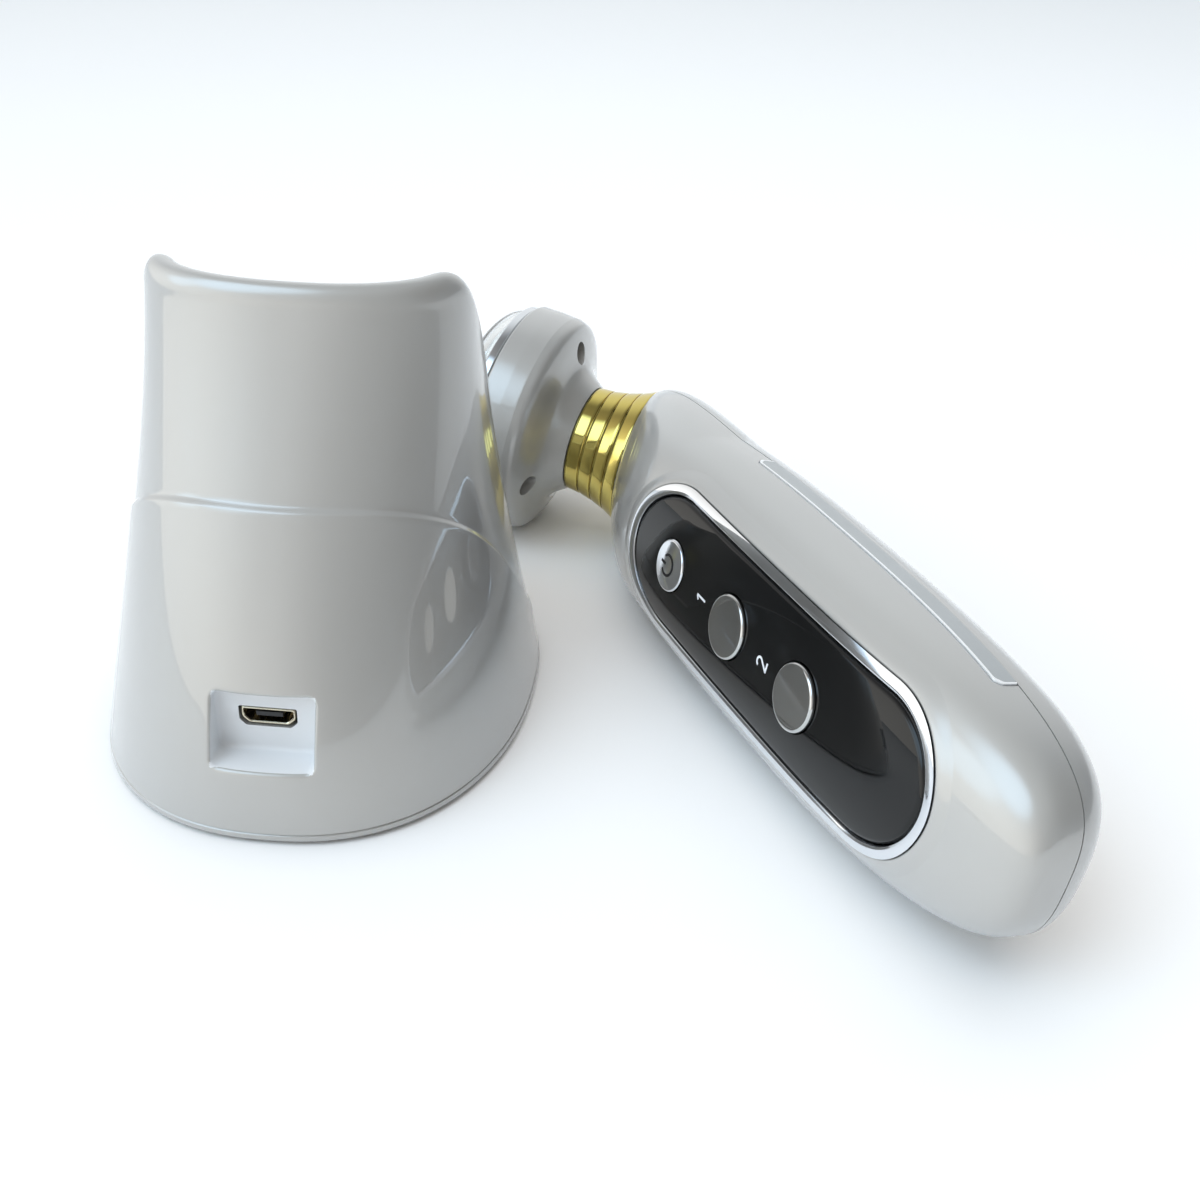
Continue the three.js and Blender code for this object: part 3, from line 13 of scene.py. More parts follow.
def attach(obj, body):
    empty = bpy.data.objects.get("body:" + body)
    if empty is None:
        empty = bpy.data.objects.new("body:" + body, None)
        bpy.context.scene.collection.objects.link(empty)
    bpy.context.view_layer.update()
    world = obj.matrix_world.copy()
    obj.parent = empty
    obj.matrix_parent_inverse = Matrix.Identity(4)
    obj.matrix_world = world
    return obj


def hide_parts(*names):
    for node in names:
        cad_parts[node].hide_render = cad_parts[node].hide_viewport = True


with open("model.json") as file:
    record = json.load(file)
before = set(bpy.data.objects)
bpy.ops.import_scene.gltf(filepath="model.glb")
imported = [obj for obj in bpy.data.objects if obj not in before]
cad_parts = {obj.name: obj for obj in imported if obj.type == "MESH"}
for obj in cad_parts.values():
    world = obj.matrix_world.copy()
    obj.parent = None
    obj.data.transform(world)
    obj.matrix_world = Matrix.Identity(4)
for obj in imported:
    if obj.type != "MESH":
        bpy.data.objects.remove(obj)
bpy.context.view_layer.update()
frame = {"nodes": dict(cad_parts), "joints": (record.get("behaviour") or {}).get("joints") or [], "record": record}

MM = 0.001
GAP = 0.3
FAR = 200.0
TAU = 2 * math.pi
# Cutting tools start at this height, below what they cut, and trim overlaps its neighbour by so much
BELOW = -1.0
OVERLAP = 0.02
SIDES = ((-1, "left"), (1, "right"))

# A piece with this before a node's name stands for that node
FINE = "fine_"
SLOT_OF = {row["node"]: row["material_slot"] for row in frame["record"]["subparts"]}
BODY_OF = {node: body for body, nodes in frame["record"]["behaviour"]["bodies"].items() for node in nodes}

# Stand
STAND_COLUMNS = 288
STAND_HEIGHT = 68.0
BASE_HALF_WIDTH = 32.1
TOP_HALF_WIDTH = 22.4
WIDEST_Y = 4.0
BASE_REAR = 43.4
TOP_REAR = 14.3
BASE_FRONT = 34.0
TOP_FRONT = 22.0
FLARE_POWER = 1.6
REAR_SLOPE_AT_BASE = -4.0
REAR_SLOPE_AT_TOP = -25.0
STAND_POWER = 2.3
SHELL_WALL = 2.4
LIP_RADIUS = 2.2
LIP_DROP = 2.0
LIP_REACH = 3.9
RIM_FRONT_HEIGHT = 29.0
RIM_FALL_START = -3.0
RIM_FALL_END = 27.0
RIM_FALL_BULGE = 0.45
CREASE_HEIGHT = 42.0
CREASE_REAR_Y = -23.0
CREASE_FALL = 0.23
CREASE_POWER = 1.4
CREASE_LOWEST = 7.0
CREASE_STEP = 0.55
CREASE_BLEND = 0.8

# Base cover, mat and screws
COVER_EDGE = 1.1
COVER_ROUND = 0.5
COVER_CHAMFER = 0.15
COVER_FLOOR = 1.8
COVER_RIM_WIDTH = 1.5
COVER_RIM_HEIGHT = 2.0
BASE_SEAM = 0.14
COVER_SCREW_PLACES = [(-9.0, 27.5), (9.0, 27.5), (-9.0, -25.0), (9.0, -25.0)]
COVER_SCREW = {"head": 2.2, "thickness": 1.2, "shank": 1.1, "length": 8.0}
SCREW_EDGE = ((0.25, 0), (0.07, 0.07), (0, 0.25))
SLOT_LENGTH_SHARE = 0.62
SLOT_WIDTH_SHARE = 0.12
SLOT_DEPTH_SHARE = 0.55
MAT_PROUD = 0.6
MAT_SEAT = 0.6
MAT_HALF_WIDTH = 21.0
MAT_FRONT_Y = 22.0
MAT_REAR_Y = -20.0
MAT_CORNER = 8.0
MAT_FOOT = (0.25, 0.3)
MAT_CHAMFER = 0.1

# Charging inlet
RECESS_HALF_WIDTH = 6.95
RECESS_LOW = 10.7
RECESS_HIGH = 20.6
RECESS_DEPTH = 3.8
RECESS_CORNER = 1.1
RECESS_WALL = 1.6
RECESS_POINTS = 160
WINDOW_MARGIN = 2.4
INSIDE_MARGIN = 0.02
BACK_MARGIN = 0.05
MOUTH_MARGINS = (1.7, 1.1)
MOUTH_FILLET = 0.5
BACK_FILLET = 0.7
USB_HALF_WIDTH = 3.8
USB_HEIGHT = 2.8
USB_CORNER = 0.9
USB_WALL = 0.3
USB_LENGTH = 5.6
USB_Z = 16.0
USB_SINK = 0.2
USB_LIP = 0.12
USB_FLARE = (0.1, 0.08)
USB_BACK = 0.6
TONGUE_HALF_WIDTH = 1.8
TONGUE_HALF_HEIGHT = 0.33
TONGUE_SINK = 0.7
TONGUE_LENGTH = 4.3
FINGER_PITCH = 0.65
FINGER_HALF_WIDTH = 0.14
FINGER_SINK = 0.9
FINGER_LENGTH = 3.4
FINGER_FALL = (0.4, 0.3)
SOFT_CORNER = 0.3

# Cup
CUP_CENTRE_Y = 8.4
CUP_HALF_X = 17.6
CUP_HALF_Y = 14.8
CUP_FLOOR = 20.0
CUP_WALL = 1.5
CUP_FILLET = 3.0
CUP_TOP_CLEARANCE = 1.4
CUP_SIDE_CLEARANCE = 0.8
CONTACT_SPACING = 7.6
CONTACT_BACK = 9.4
BARREL_RADIUS = 1.7
BARREL_BORE = 1.05
BARREL_LENGTH = 6.4
BARREL_FLOOR = 0.8
BARREL_FLANGE_RADIUS = 2.5
BARREL_FLANGE = 0.6
BARREL_CHAMFER = 0.12
PLUNGER_RADIUS = 0.75
PLUNGER_PROUD = 5.2
PLUNGER_INSIDE = 2.4
PLUNGER_ROUND = 0.6

# Handpiece body
BODY_COLUMNS = 208
TAIL_Z = -60.1
BODY_HALF_WIDTH = 17.6
TAIL_POWER = 3.2
FRONT_DEPTH = 12.1
FRONT_SAG = 2.4
FRONT_TAIL_LENGTH = 47.3
FRONT_TAIL_POWER = 2.6
REAR_DEPTH = 12.8
REAR_TAIL_LENGTH = 19.5
REAR_TAIL_POWER = 2.25
TIP_DEPTH = 1.0
TAIL_RING_SPAN = 26.0
TAIL_RING_START = 0.02
BODY_RING_COUNTS = (64, 52, 44)
THINNEST_SIDE = 0.4
BEND_START_Z = 33.0
BEND_HALF_WIDTH = 16.2
BEND_POWER = 2.4
BEND_FRONT_EASE = (8.0, 2.0, 6.0)
BEND_REAR_EASE = (0.8, 16.0, 4.0, 2.4)
BODY_POWER = 2.6
BODY_WALL = 2.2
PARTING_Y = -2.6
PARTING_GAP = 0.2

# Neck and head
HEAD_TILT = math.radians(47)
NECK_HEAD_END = np.array([0.0, 5.8, 69.4])
NECK_LENGTH = 10.4
NECK_BODY_RADIUS = 12.2
NECK_HEAD_RADIUS = 9.5
NECK_WAIST_POWER = 1.9
NECK_BANDS = 4
NECK_HEAD_GAP = 0.1
NECK_CROWN = 0.05
NECK_EDGE = 0.07
NECK_EDGE_WIDTH = 0.15
GROOVE_HALF_WIDTH = 0.09
GROOVE_FLOOR_HALF_WIDTH = 0.05
GROOVE_DEPTH = 0.3
SPIGOT_RADIUS = 7.8
SPIGOT_BORE = 5.6
SPIGOT_LENGTH = 15.0
SPIGOT_TOP = 1.0
HEAD_RADIUS = 20.0
HEAD_WALL = 2.2
HEAD_EDGE = 0.4
HEAD_BAND_START = 11.0
HEAD_BAND_END = 14.6
HEAD_SCREW_CIRCLE = 14.8
HEAD_RECESS_RADIUS = 1.9
HEAD_RECESS_FLARE = 0.5
HEAD_RECESS_START = -3.0
HEAD_RECESS_STRAIGHT = 3.2
HEAD_RECESS_FLOOR = 8.2
HEAD_SCREW = {"head": 1.55, "thickness": 1.4, "shank": 0.8, "length": 4.6}
RING_THICKNESS = 1.5
RING_RADIUS = 19.4
RING_SEAT = 3.0
RING_EDGE = 0.3
RING_CHAMFER = 0.15
LENS_EDGE_RADIUS = 18.4
LENS_APEX = 23.0
LENS_WALL = 1.6
LENS_SHOULDER = 0.72
LENS_SPREAD = 0.62
ELECTRODE_CIRCLE = 8.4
ELECTRODE_RADIUS = 2.6
ELECTRODE_PROUD = 0.7
ELECTRODE_ROUND = 0.9
ELECTRODE_DEPTH = 3.4
ELECTRODE_STEM = (1.2, 4.0)
ELECTRODE_HOLE_GAP = 0.12
LED_BOARD_TOP = 13.7
LED_BOARD_RADIUS = 15.6
LED_BOARD_THICKNESS = 1.0
LED_BOARD_CHAMFER = 0.1
LAMP_CIRCLE = 12.6
LAMP_COUNT = 8
LAMP_HALF_WIDTH = 0.95
LAMP_CORNER = 0.2
LAMP_HEIGHT = 0.85
LAMP_SINK = 0.1
DOME_SIZE = (0.7, 0.3)
DOME_LOW = 0.5
DOME_EDGE = 0.84

# The outline of the head's back and of its hollow, as places in from its edge and heights
HEAD_BACK = ((8.5, 2.8), (6.6, 4.1), (3.2, 5.2), (1, 6.3), (0.2, 8))
HEAD_HOLLOW = ((2.2, 8.6), (4.4, 7.2), (8.2, 6.2), (11.4, 3.6))

# Button panel
PANEL_HEAD_Z = 31.6
PANEL_TAIL_Z = -45.4
LENS_HALF_WIDTH = 10.2
PANEL_END_STRETCH = 1.15
PANEL_THICKNESS = 1.9
PANEL_GAP = 0.06
BEZEL_WIDTH = 1.5
BEZEL_PROUD = 0.4
BEZEL_UNDERCUT = 0.45
LENS_PROUD = 0.1
LENS_EDGE = 0.9
LENS_OVERLAP = 0.03
PANEL_LIP_WIDTH = 2.6
PANEL_LIP_HEIGHT = 0.3
PANEL_LIP_ROUND = 0.35
PANEL_LIP_FOOT = -1.0
PANEL_LIP_DIP = 0.01
BUTTON_PITCH = 19.0
MODE_BUTTON_RADIUS = 4.75
POWER_BUTTON_RADIUS = 4.1
BUTTON_PROUD = 0.7
BUTTON_DEPTH = 2.5
BUTTON_EDGE = 0.45
BUTTON_HOLE_GAP = 0.18
NUMERAL_SIZE = 1.25
NUMERAL_STROKE = 0.34
NUMERAL_ONE_Z = 8.4
NUMERAL_TWO_Z = -10.2
SIGN_SIZE = 1.6
SIGN_STROKE = 0.42
MARK_PROUD = 0.03
MARK_SINK = 0.05

# The bezel's chamfer towards the black panel, as places outwards and heights
BEZEL_CHAMFER = ((0.0, 0.1), (0.03, 0.15), (0.3, 0.34), (0.38, 0.38))

# Each button's height on the panel, radius and crown
BUTTONS = {
    "power_button": (BUTTON_PITCH, POWER_BUTTON_RADIUS, 0.22),
    "mode_button_1": (0.0, MODE_BUTTON_RADIUS, 0.06),
    "mode_button_2": (-BUTTON_PITCH, MODE_BUTTON_RADIUS, 0.06),
}

# Side strips and tail contacts
STRIP_HEAD_Z = 22.0
STRIP_TAIL_Z = -41.4
STRIP_WIDTH = 3.1
STRIP_CHAMFER = 0.9
STRIP_PROUD = 0.2
STRIP_EDGE = 0.34
STRIP_SINK = 1.0
STRIP_CLEARANCE = 0.12
STRIP_X = (8.0, 30.0)
TAIL_PAD_RADIUS = 1.8
TAIL_PAD_SINK = 1.4
TAIL_PAD_REACH = 14.0
TAIL_PAD_BELOW = 5.0
TAIL_PAD_CLEARANCE = 0.12

# The vibration weight's centre in the handpiece's own frame, which its joint gives in the part's frame
WEIGHT_PLACE = np.array([0.0, -3.5, 48.0])

# Smooth shading: where edges stay crisp, and how near and alike a face is to the skin that it follows
CRISP_ANGLE = 32.0
SKIN_REACH = 0.004
SKIN_AGREEMENT = 0.9

# How deep the grain of a surface is, in metres
GRAIN = 0.00002
POLISH = 0.000002

# Camera, as fitted to the photograph
CAMERA_PLACE = (53.0, -190.7, 134.3)
CAMERA_LENS = 45.0
CAMERA_SENSOR = 36.0
CAMERA_HEADING = -3.4404949
CAMERA_PITCH = 31.24
CAMERA_ROLL = 2.47
CAMERA_CLIP = (0.01, 20)

# The room: the direction of its bright side, its colours from the dark side to the bright one, and what
# stands out in it, each with a direction, a colour and how far it fades
ROOM_STRENGTH = 1.95
ROOM_SPREAD = 0.8
ROOM_BRIGHT_SIDE = (-0.86, -0.38, -0.34)
ROOM_DARKEST = (0.07, 0.08, 0.09, 1)
ROOM_BRIGHTEST = (1.0, 0.985, 0.93, 1)
ROOM_BETWEEN = {0.5: (0.15, 0.145, 0.14, 1), 0.75: (0.40, 0.38, 0.365, 1)}
ROOM_SPOTS = {
    "high window": ((-0.50, -0.42, 0.757), (1.05, 1.35, 1.62), 0.89, 0.98),
    "side window": ((-0.87, -0.24, 0.43), (1.15, 1.36, 1.52), 0.962, 0.994),
    "far wall": ((0.0, 0.96, 0.28), (0.50, 0.51, 0.51), 0.50, 0.96),
    "dark corner": ((0.80, -0.14, 0.59), (0.020, 0.015, 0.010), 0.85, 0.97),
}
OVERHEAD_PLACE = (60, -20, 620)
OVERHEAD_SIZE = 900
OVERHEAD_POWER = 3.1
OVERHEAD_COLOR = (1.0, 0.995, 0.985)
FLOOR_HALF = 1500
FLOOR_THICKNESS = 4


# Meshes
def new_object(name, points, faces):
    mesh = bpy.data.meshes.new(name)
    mesh.from_pydata(np.asarray(points, float).tolist(), [], [list(face) for face in faces])
    mesh.update()
    piece = bpy.data.objects.new(name, mesh)
    bpy.context.scene.collection.objects.link(piece)
    return piece


def grid_faces(rows, columns, closed=False, holes=()):
    """Four-sided faces between rings of points. Closed also joins the last ring to the first."""
    faces = []
    for row in range(rows if closed else rows - 1):
        above = (row + 1) % rows
        for column in range(columns):
            after = (column + 1) % columns
            if (row, column) not in holes:
                faces.append((row * columns + column, row * columns + after,
                              above * columns + after, above * columns + column))
    return faces


def between(low, high):
    """Four-sided faces between two loops of point numbers."""
    return list(zip(low, low[1:] + low[:1], high[1:] + high[:1], high))


def loft(rings, ends=None):
    """A closed solid through rings that run counter-clockwise as seen from the last ring."""
    rings = [np.asarray(ring, float) for ring in rings]
    columns = len(rings[0])
    count = columns * len(rings)
    if ends is None:
        ends = rings[0].mean(0), rings[-1].mean(0)
    faces = grid_faces(len(rings), columns)
    for column in range(columns):
        after = (column + 1) % columns
        faces.append((count, after, column))
        faces.append((count + 1, count - columns + column, count - columns + after))
    return np.vstack(rings + [ends]), faces


def turned(profile, segments=96):
    """A closed solid turned about z. Its (radius, height) pairs close on themselves or on the axis."""
    angles = np.arange(segments) / segments * TAU
    rings = [np.stack([r * np.cos(angles), r * np.sin(angles), np.full(segments, h)], 1)
             for r, h in profile if r > 0]
    if profile[0][0] == 0 and profile[-1][0] == 0:
        return loft(rings, [(0, 0, profile[0][1]), (0, 0, profile[-1][1])])
    return np.vstack(rings), grid_faces(len(rings), segments, closed=True)


def at_y(outline, y):
    """An outline in x and z, put at a y."""
    return np.insert(outline, 1, y, axis=1)


def at_z(outline, z):
    return np.insert(np.asarray(outline, float), 2, z, axis=1)


def prism(outline, low, high, axis="z"):
    """A counter-clockwise outline in two of the axes, pushed along the third."""
    count = len(outline)
    points = np.vstack([at_z(outline, height) for height in (low, high)])
    faces = [tuple(range(count))[::-1], tuple(range(count, 2 * count))] + grid_faces(2, count)
    if axis == "y":
        points = points[:, [0, 2, 1]]
        faces = [face[::-1] for face in faces]
    if axis == "x":
        points = points[:, [2, 0, 1]]
    return points, faces


def box(low, high):
    corners = [(low[0], low[1]), (high[0], low[1]), (high[0], high[1]), (low[0], high[1])]
    return prism(corners, low[2], high[2])


def rod(radius, low, high, segments=64):
    return turned([(0, low), (radius, low), (radius, high), (0, high)], segments)


def combined(piece, operation, solids):
    for solid in solids:
        tool = new_object("tool", *solid)
        step = piece.modifiers.new("step", "BOOLEAN")
        step.operation = operation
        step.solver = "MANIFOLD"
        step.object = tool
        graph = bpy.context.evaluated_depsgraph_get()
        made = bpy.data.meshes.new_from_object(piece.evaluated_get(graph))
        piece.modifiers.clear()
        spent = [piece.data, tool.data]
        piece.data = made
        bpy.data.objects.remove(tool)
        for mesh in spent:
            bpy.data.meshes.remove(mesh)
    return piece


def cut(piece, *solids):
    return combined(piece, "DIFFERENCE", solids)


def keep(piece, solid):
    """Keeps what the piece shares with the solid."""
    return combined(piece, "INTERSECT", [solid])


def placed(solid, matrix):
    return np.asarray(solid[0], float) @ matrix[:3, :3].T + matrix[:3, 3], solid[1]


def moved(solid, offset):
    return np.asarray(solid[0], float) + np.asarray(offset, float), solid[1]


def on_circle(solid, radius, angle):
    return moved(solid, (radius * math.cos(angle), radius * math.sin(angle), 0))


def mirrored(solid):
    return np.asarray(solid[0], float) * (-1, 1, 1), [face[::-1] for face in solid[1]]


def gathered(solids):
    """Several solids as one mesh."""
    points, faces = [], []
    for solid in solids:
        shift = sum(len(some) for some in points)
        points.append(np.asarray(solid[0], float))
        faces += [tuple(k + shift for k in face) for face in solid[1]]
    return np.vstack(points), faces


class Skin:
    """A smooth surface that pieces are seated on and take their shading from."""

    def __init__(self, points, faces):
        self.points = np.asarray(points, float)
        self.faces = faces
        normals = np.zeros_like(self.points)
        for corners in (3, 4):
            some = np.array([face for face in faces if len(face) == corners])
            if not len(some):
                continue
            a, b, c, d = (self.points[some[:, k]] for k in (0, 1, 2, corners - 1))
            for k in range(corners):
                np.add.at(normals, some[:, k], np.cross(c - a, d - b))
        self.normals = normals / np.maximum(np.linalg.norm(normals, axis=1, keepdims=True), 1e-12)
        self.tree = BVHTree.FromPolygons(self.points.tolist(), [list(face) for face in faces])

    def normal_at(self, place, index):
        corners = self.faces[index]
        shares = poly_3d_calc([Vector(self.points[k]) for k in corners], place)
        normal = sum(np.array(self.normals[k]) * share for k, share in zip(corners, shares))
        return normal / max(np.linalg.norm(normal), 1e-12)

    def near(self, point):
        place, _, index, _ = self.tree.find_nearest(Vector(point.tolist()), SKIN_REACH)
        return None if place is None else self.normal_at(place, index)

    def front(self, x, z):
        """The place on the skin in front of x and z, and its normal."""
        place, _, index, _ = self.tree.ray_cast(Vector((x, FAR, z)), Vector((0, -1, 0)))
        return np.array(place), self.normal_at(place, index)


def shade(piece, skin=None, sharp=CRISP_ANGLE):
    """Smooth shading with crisp edges; faces that lie on a skin take that skin's normals."""
    mesh = piece.data
    mesh.shade_smooth()
    mesh.set_sharp_from_angle(angle=math.radians(sharp))
    if skin is None:
        return piece
    places = np.empty(len(mesh.vertices) * 3, np.float32)
    mesh.vertices.foreach_get("co", places)
    found = [skin.near(place) for place in places.reshape(-1, 3)]
    result = [(0.0, 0.0, 0.0)] * len(mesh.loops)
    for polygon in mesh.polygons:
        own = np.array(polygon.normal)
        normals = [found[mesh.loops[k].vertex_index] for k in polygon.loop_indices]
        if any(normal is None or normal @ own < SKIN_AGREEMENT for normal in normals):
            continue
        for k, normal in zip(polygon.loop_indices, normals):
            result[k] = tuple(normal.tolist())
    piece["skin_normals"] = 1
    mesh.normals_split_custom_set(result)
    return piece


def shaped(name, solid, sharp=CRISP_ANGLE):
    return shade(new_object(name, *solid), sharp=sharp)


def dressed(piece, finish, place=None, body=None, slot=None, material=None):
    """Puts the piece in metres where it belongs, gives it its finish, hangs it on the body it rides on, and hides
    the node that it stands for.
    """
    matrix = Matrix.Scale(MM, 4)
    if place is not None:
        matrix = matrix @ Matrix(place.tolist())
    mesh = piece.data
    kept = None
    if piece.get("skin_normals"):
        kept = np.empty(len(mesh.loops) * 3, np.float32)
        mesh.corner_normals.foreach_get("vector", kept)
        kept = kept.reshape(-1, 3) @ np.array(matrix.to_3x3().normalized()).T
        del piece["skin_normals"]
    mesh.transform(matrix)
    if kept is not None:
        mesh.normals_split_custom_set(kept.tolist())
    replaces = []
    if piece.name.startswith(FINE):
        node = piece.name.removeprefix(FINE)
        body, slot, replaces = BODY_OF[node], SLOT_OF[node], [node]
    mesh.materials.clear()
    mesh.materials.append(finish[material or slot])
    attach(piece, body)
    if replaces:
        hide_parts(*replaces)
    return piece


# Curves and outlines
def mixed(start, end, share):
    return start + (end - start) * share


def smooth(share):
    share = np.clip(share, 0, 1)
    return share * share * (3 - 2 * share)


def rounded(value, power):
    return np.sign(value) * np.abs(value) ** (2 / power)


def arc(centre, reach, start, end, steps):
    """Points on a circle, or an ellipse where reach is a pair, from one bearing to another in degrees."""
    turn = np.radians(np.linspace(start, end, steps))
    return np.array(centre) + np.column_stack([np.cos(turn), np.sin(turn)]) * reach


def line(start, end, steps=8):
    return mixed(np.array(start, float), np.array(end, float), np.linspace(0, 1, steps)[:, None])


def bezier(points, shares):
    start, leave, arrive, end = (np.asarray(point, float) for point in points)
    t = np.asarray(shares, float)[:, None]
    return ((1 - t) ** 3 * start + 3 * (1 - t) ** 2 * t * leave
            + 3 * (1 - t) * t ** 2 * arrive + t ** 3 * end)


def spline(points, count):
    """A curve through the points, each stretch sampled evenly."""
    points = np.asarray(points, float)
    last = len(points) - 1
    made = []
    for t in np.linspace(0, last, count):
        k = min(int(t), last - 1)
        share = t - k
        before, here, there, after = (points[min(max(k + step, 0), last)] for step in (-1, 0, 1, 2))
        out, into = (there - before) / 2, (after - here) / 2
        made.append(
            (2 * share ** 3 - 3 * share ** 2 + 1) * here + (share ** 3 - 2 * share ** 2 + share) * out
            + (3 * share ** 2 - 2 * share ** 3) * there + (share ** 3 - share ** 2) * into)
    return np.array(made)


def rounded_rectangle(half_width, low, high, radius, steps=10):
    """Counter-clockwise from the lower right corner's start."""
    right, top, bottom = half_width - radius, high - radius, low + radius
    centres = [(right, bottom), (right, top), (-right, top), (-right, bottom)]
    return np.vstack([arc(centre, radius, 90 * (k - 1), 90 * k, steps) for k, centre in enumerate(centres)])


def softened(corners, radius=SOFT_CORNER, steps=5):
    """A polygon with its corners rounded by short curves."""
    corners = [np.asarray(corner, float) for corner in corners]
    made = []
    for k, corner in enumerate(corners):
        before, after = corners[k - 1], corners[(k + 1) % len(corners)]
        start = corner + (before - corner) * min(radius / np.linalg.norm(before - corner), 0.5)
        end = corner + (after - corner) * min(radius / np.linalg.norm(after - corner), 0.5)
        for share in np.linspace(0, 1, steps):
            made.append((1 - share) ** 2 * start + 2 * share * (1 - share) * corner + share ** 2 * end)
    return np.array(made)


def evenly(outline, count):
    """The outline walked again with points at even steps, from its first point."""
    closed = np.vstack([outline, outline[:1]])
    run = np.concatenate([[0], np.cumsum(np.linalg.norm(np.diff(closed, axis=0), axis=1))])
    places = np.arange(count) / count * run[-1]
    return np.column_stack([np.interp(places, run, closed[:, k]) for k in range(closed.shape[1])])


# Stand form
def flare(base, top, share):
    return top + (base - top) * np.maximum(1 - share, 0) ** FLARE_POWER


def rear_depth(share):
    square, cube = share ** 2, share ** 3
    return (BASE_REAR * (2 * cube - 3 * square + 1) + TOP_REAR * (3 * square - 2 * cube)
            + REAR_SLOPE_AT_BASE * (cube - 2 * square + share) + REAR_SLOPE_AT_TOP * (cube - square))


def stand_point(angle, z, inset=0.0):
    share = z / STAND_HEIGHT
    along = rounded(np.sin(angle), STAND_POWER)
    depth = np.where(along > 0, flare(BASE_FRONT, TOP_FRONT, share), rear_depth(share))
    x = (flare(BASE_HALF_WIDTH, TOP_HALF_WIDTH, share) - inset) * rounded(np.cos(angle), STAND_POWER)
    y = WIDEST_Y + (depth - inset) * along
    return np.stack(np.broadcast_arrays(x, y, z), -1)


rim_curve = bezier([
    (RIM_FALL_START, STAND_HEIGHT),
    (mixed(RIM_FALL_START, RIM_FALL_END, RIM_FALL_BULGE), STAND_HEIGHT),
    (mixed(RIM_FALL_END, RIM_FALL_START, RIM_FALL_BULGE), RIM_FRONT_HEIGHT),
    (RIM_FALL_END, RIM_FRONT_HEIGHT),
], np.linspace(0, 1, 400))


def rim_at(y):
    return np.interp(y, rim_curve[:, 0], rim_curve[:, 1])


def crease_at(y):
    fallen = CREASE_FALL * np.maximum(y - CREASE_REAR_Y, 0) ** CREASE_POWER
    return np.maximum(CREASE_HEIGHT - fallen, CREASE_LOWEST)


def halved(low, high, below, times):
    """Narrows each pair of bounds down to the place where below stops holding."""
    for _ in range(times):
        middle = (low + high) / 2
        found = below(middle)
        low, high = np.where(found, middle, low), np.where(found, high, middle)
    return low


def height_where(angle, curve):
    """The height at which the stand's side meets a curve of heights over y."""
    return halved(np.zeros_like(angle), np.full_like(angle, STAND_HEIGHT),
                  lambda z: z < curve(stand_point(angle, z)[..., 1]), 40)


stand_angles = np.arange(STAND_COLUMNS) / STAND_COLUMNS * TAU
rim_heights = height_where(stand_angles, rim_at)
crease_heights = height_where(stand_angles, crease_at)
lip_ends = rim_heights - LIP_RADIUS - LIP_DROP
cover_top = MAT_PROUD + COVER_EDGE
shell_bottom = cover_top + BASE_SEAM


def stand_wall(angle, z, inset=0.0):
    """The stand's side with its skirt, drawn in by inset."""
    crease = np.interp(angle, stand_angles, crease_heights, period=TAU)
    share = np.clip((z - shell_bottom) / (crease - shell_bottom), 0, 1)
    fall = 1 - smooth((z - crease) / CREASE_BLEND)
    skirt = CREASE_STEP * np.sqrt(0.5 - 0.5 * np.sin(angle))
    return stand_point(angle, z, inset - skirt * share * fall)


def wall_point(outline, surface, inset):
    """The places on the stand's rear wall at an outline's x and heights."""
    x, z = outline.T
    rear = np.full_like(x, -math.pi / 2)
    angle = halved(rear - 1, rear + 1, lambda turn: surface(turn, z, inset)[..., 0] < x, 45)
    return surface(angle, z, inset)


# Where the rings lie up the skirt and down the inner wall, which has more of them in its lower part
SKIRT_SHARES = np.concatenate([np.linspace(0, 0.85, 46), np.linspace(0.87, 1, 9)])
INNER_SHARES = np.concatenate([np.linspace(0, 0.35, 6), np.linspace(0.36, 1, 50)])
RECESS_MIDDLE = (RECESS_LOW + RECESS_HIGH) / 2
recess_back = WIDEST_Y - float(rear_depth(np.array(RECESS_MIDDLE / STAND_HEIGHT))) + RECESS_DEPTH


def recess_outline(growth):
    outline = rounded_rectangle(
        RECESS_HALF_WIDTH + growth, RECESS_LOW - growth, RECESS_HIGH + growth, RECESS_CORNER + growth, 14)
    return evenly(outline, RECESS_POINTS)


def usb_outline(growth):
    """The micro inlet's outline: square above, with chamfered corners below, all slightly rounded."""
    half = USB_HALF_WIDTH + growth
    high = USB_Z + USB_HEIGHT / 2 + growth
    low = USB_Z - USB_HEIGHT / 2 - growth
    return softened([(-half + USB_CORNER, low), (half - USB_CORNER, low), (half, low + USB_CORNER),
                     (half, high), (-half, high), (-half, low + USB_CORNER)])


def zipped(outer, inner, points, middle_z):
    """Triangles between two loops of point numbers that run the same way round a height at x 0."""
    def bearings(loop):
        places = np.array([points[k] for k in loop])
        return np.unwrap(np.arctan2(places[:, 2] - middle_z, places[:, 0]))

    outer, inner = list(outer), list(inner)
    turn_out, turn_in = bearings(outer), bearings(inner)
    shift = int(np.argmin(np.abs(np.mod(turn_in - turn_out[0] + math.pi, TAU) - math.pi)))
    inner = inner[shift:] + inner[:shift]
    turn_in = bearings(inner)
    turn_in += TAU * round((turn_out[0] - turn_in[0]) / TAU)
    outer.append(outer[0])
    inner.append(inner[0])
    sense = 1 if turn_out[-1] > turn_out[0] else -1
    turn_out = np.append(turn_out, turn_out[0] + sense * TAU)
    turn_in = np.append(turn_in, turn_in[0] + sense * TAU)
    faces = []
    i = j = 0
    while i + 1 < len(outer) or j + 1 < len(inner):
        step_outer = j + 1 >= len(inner) or (
            i + 1 < len(outer) and sense * turn_out[i + 1] < sense * turn_in[j + 1])
        if step_outer:
            faces.append((outer[i], outer[i + 1], inner[j]))
            i += 1
        else:
            faces.append((outer[i], inner[j + 1], inner[j]))
            j += 1
    return faces


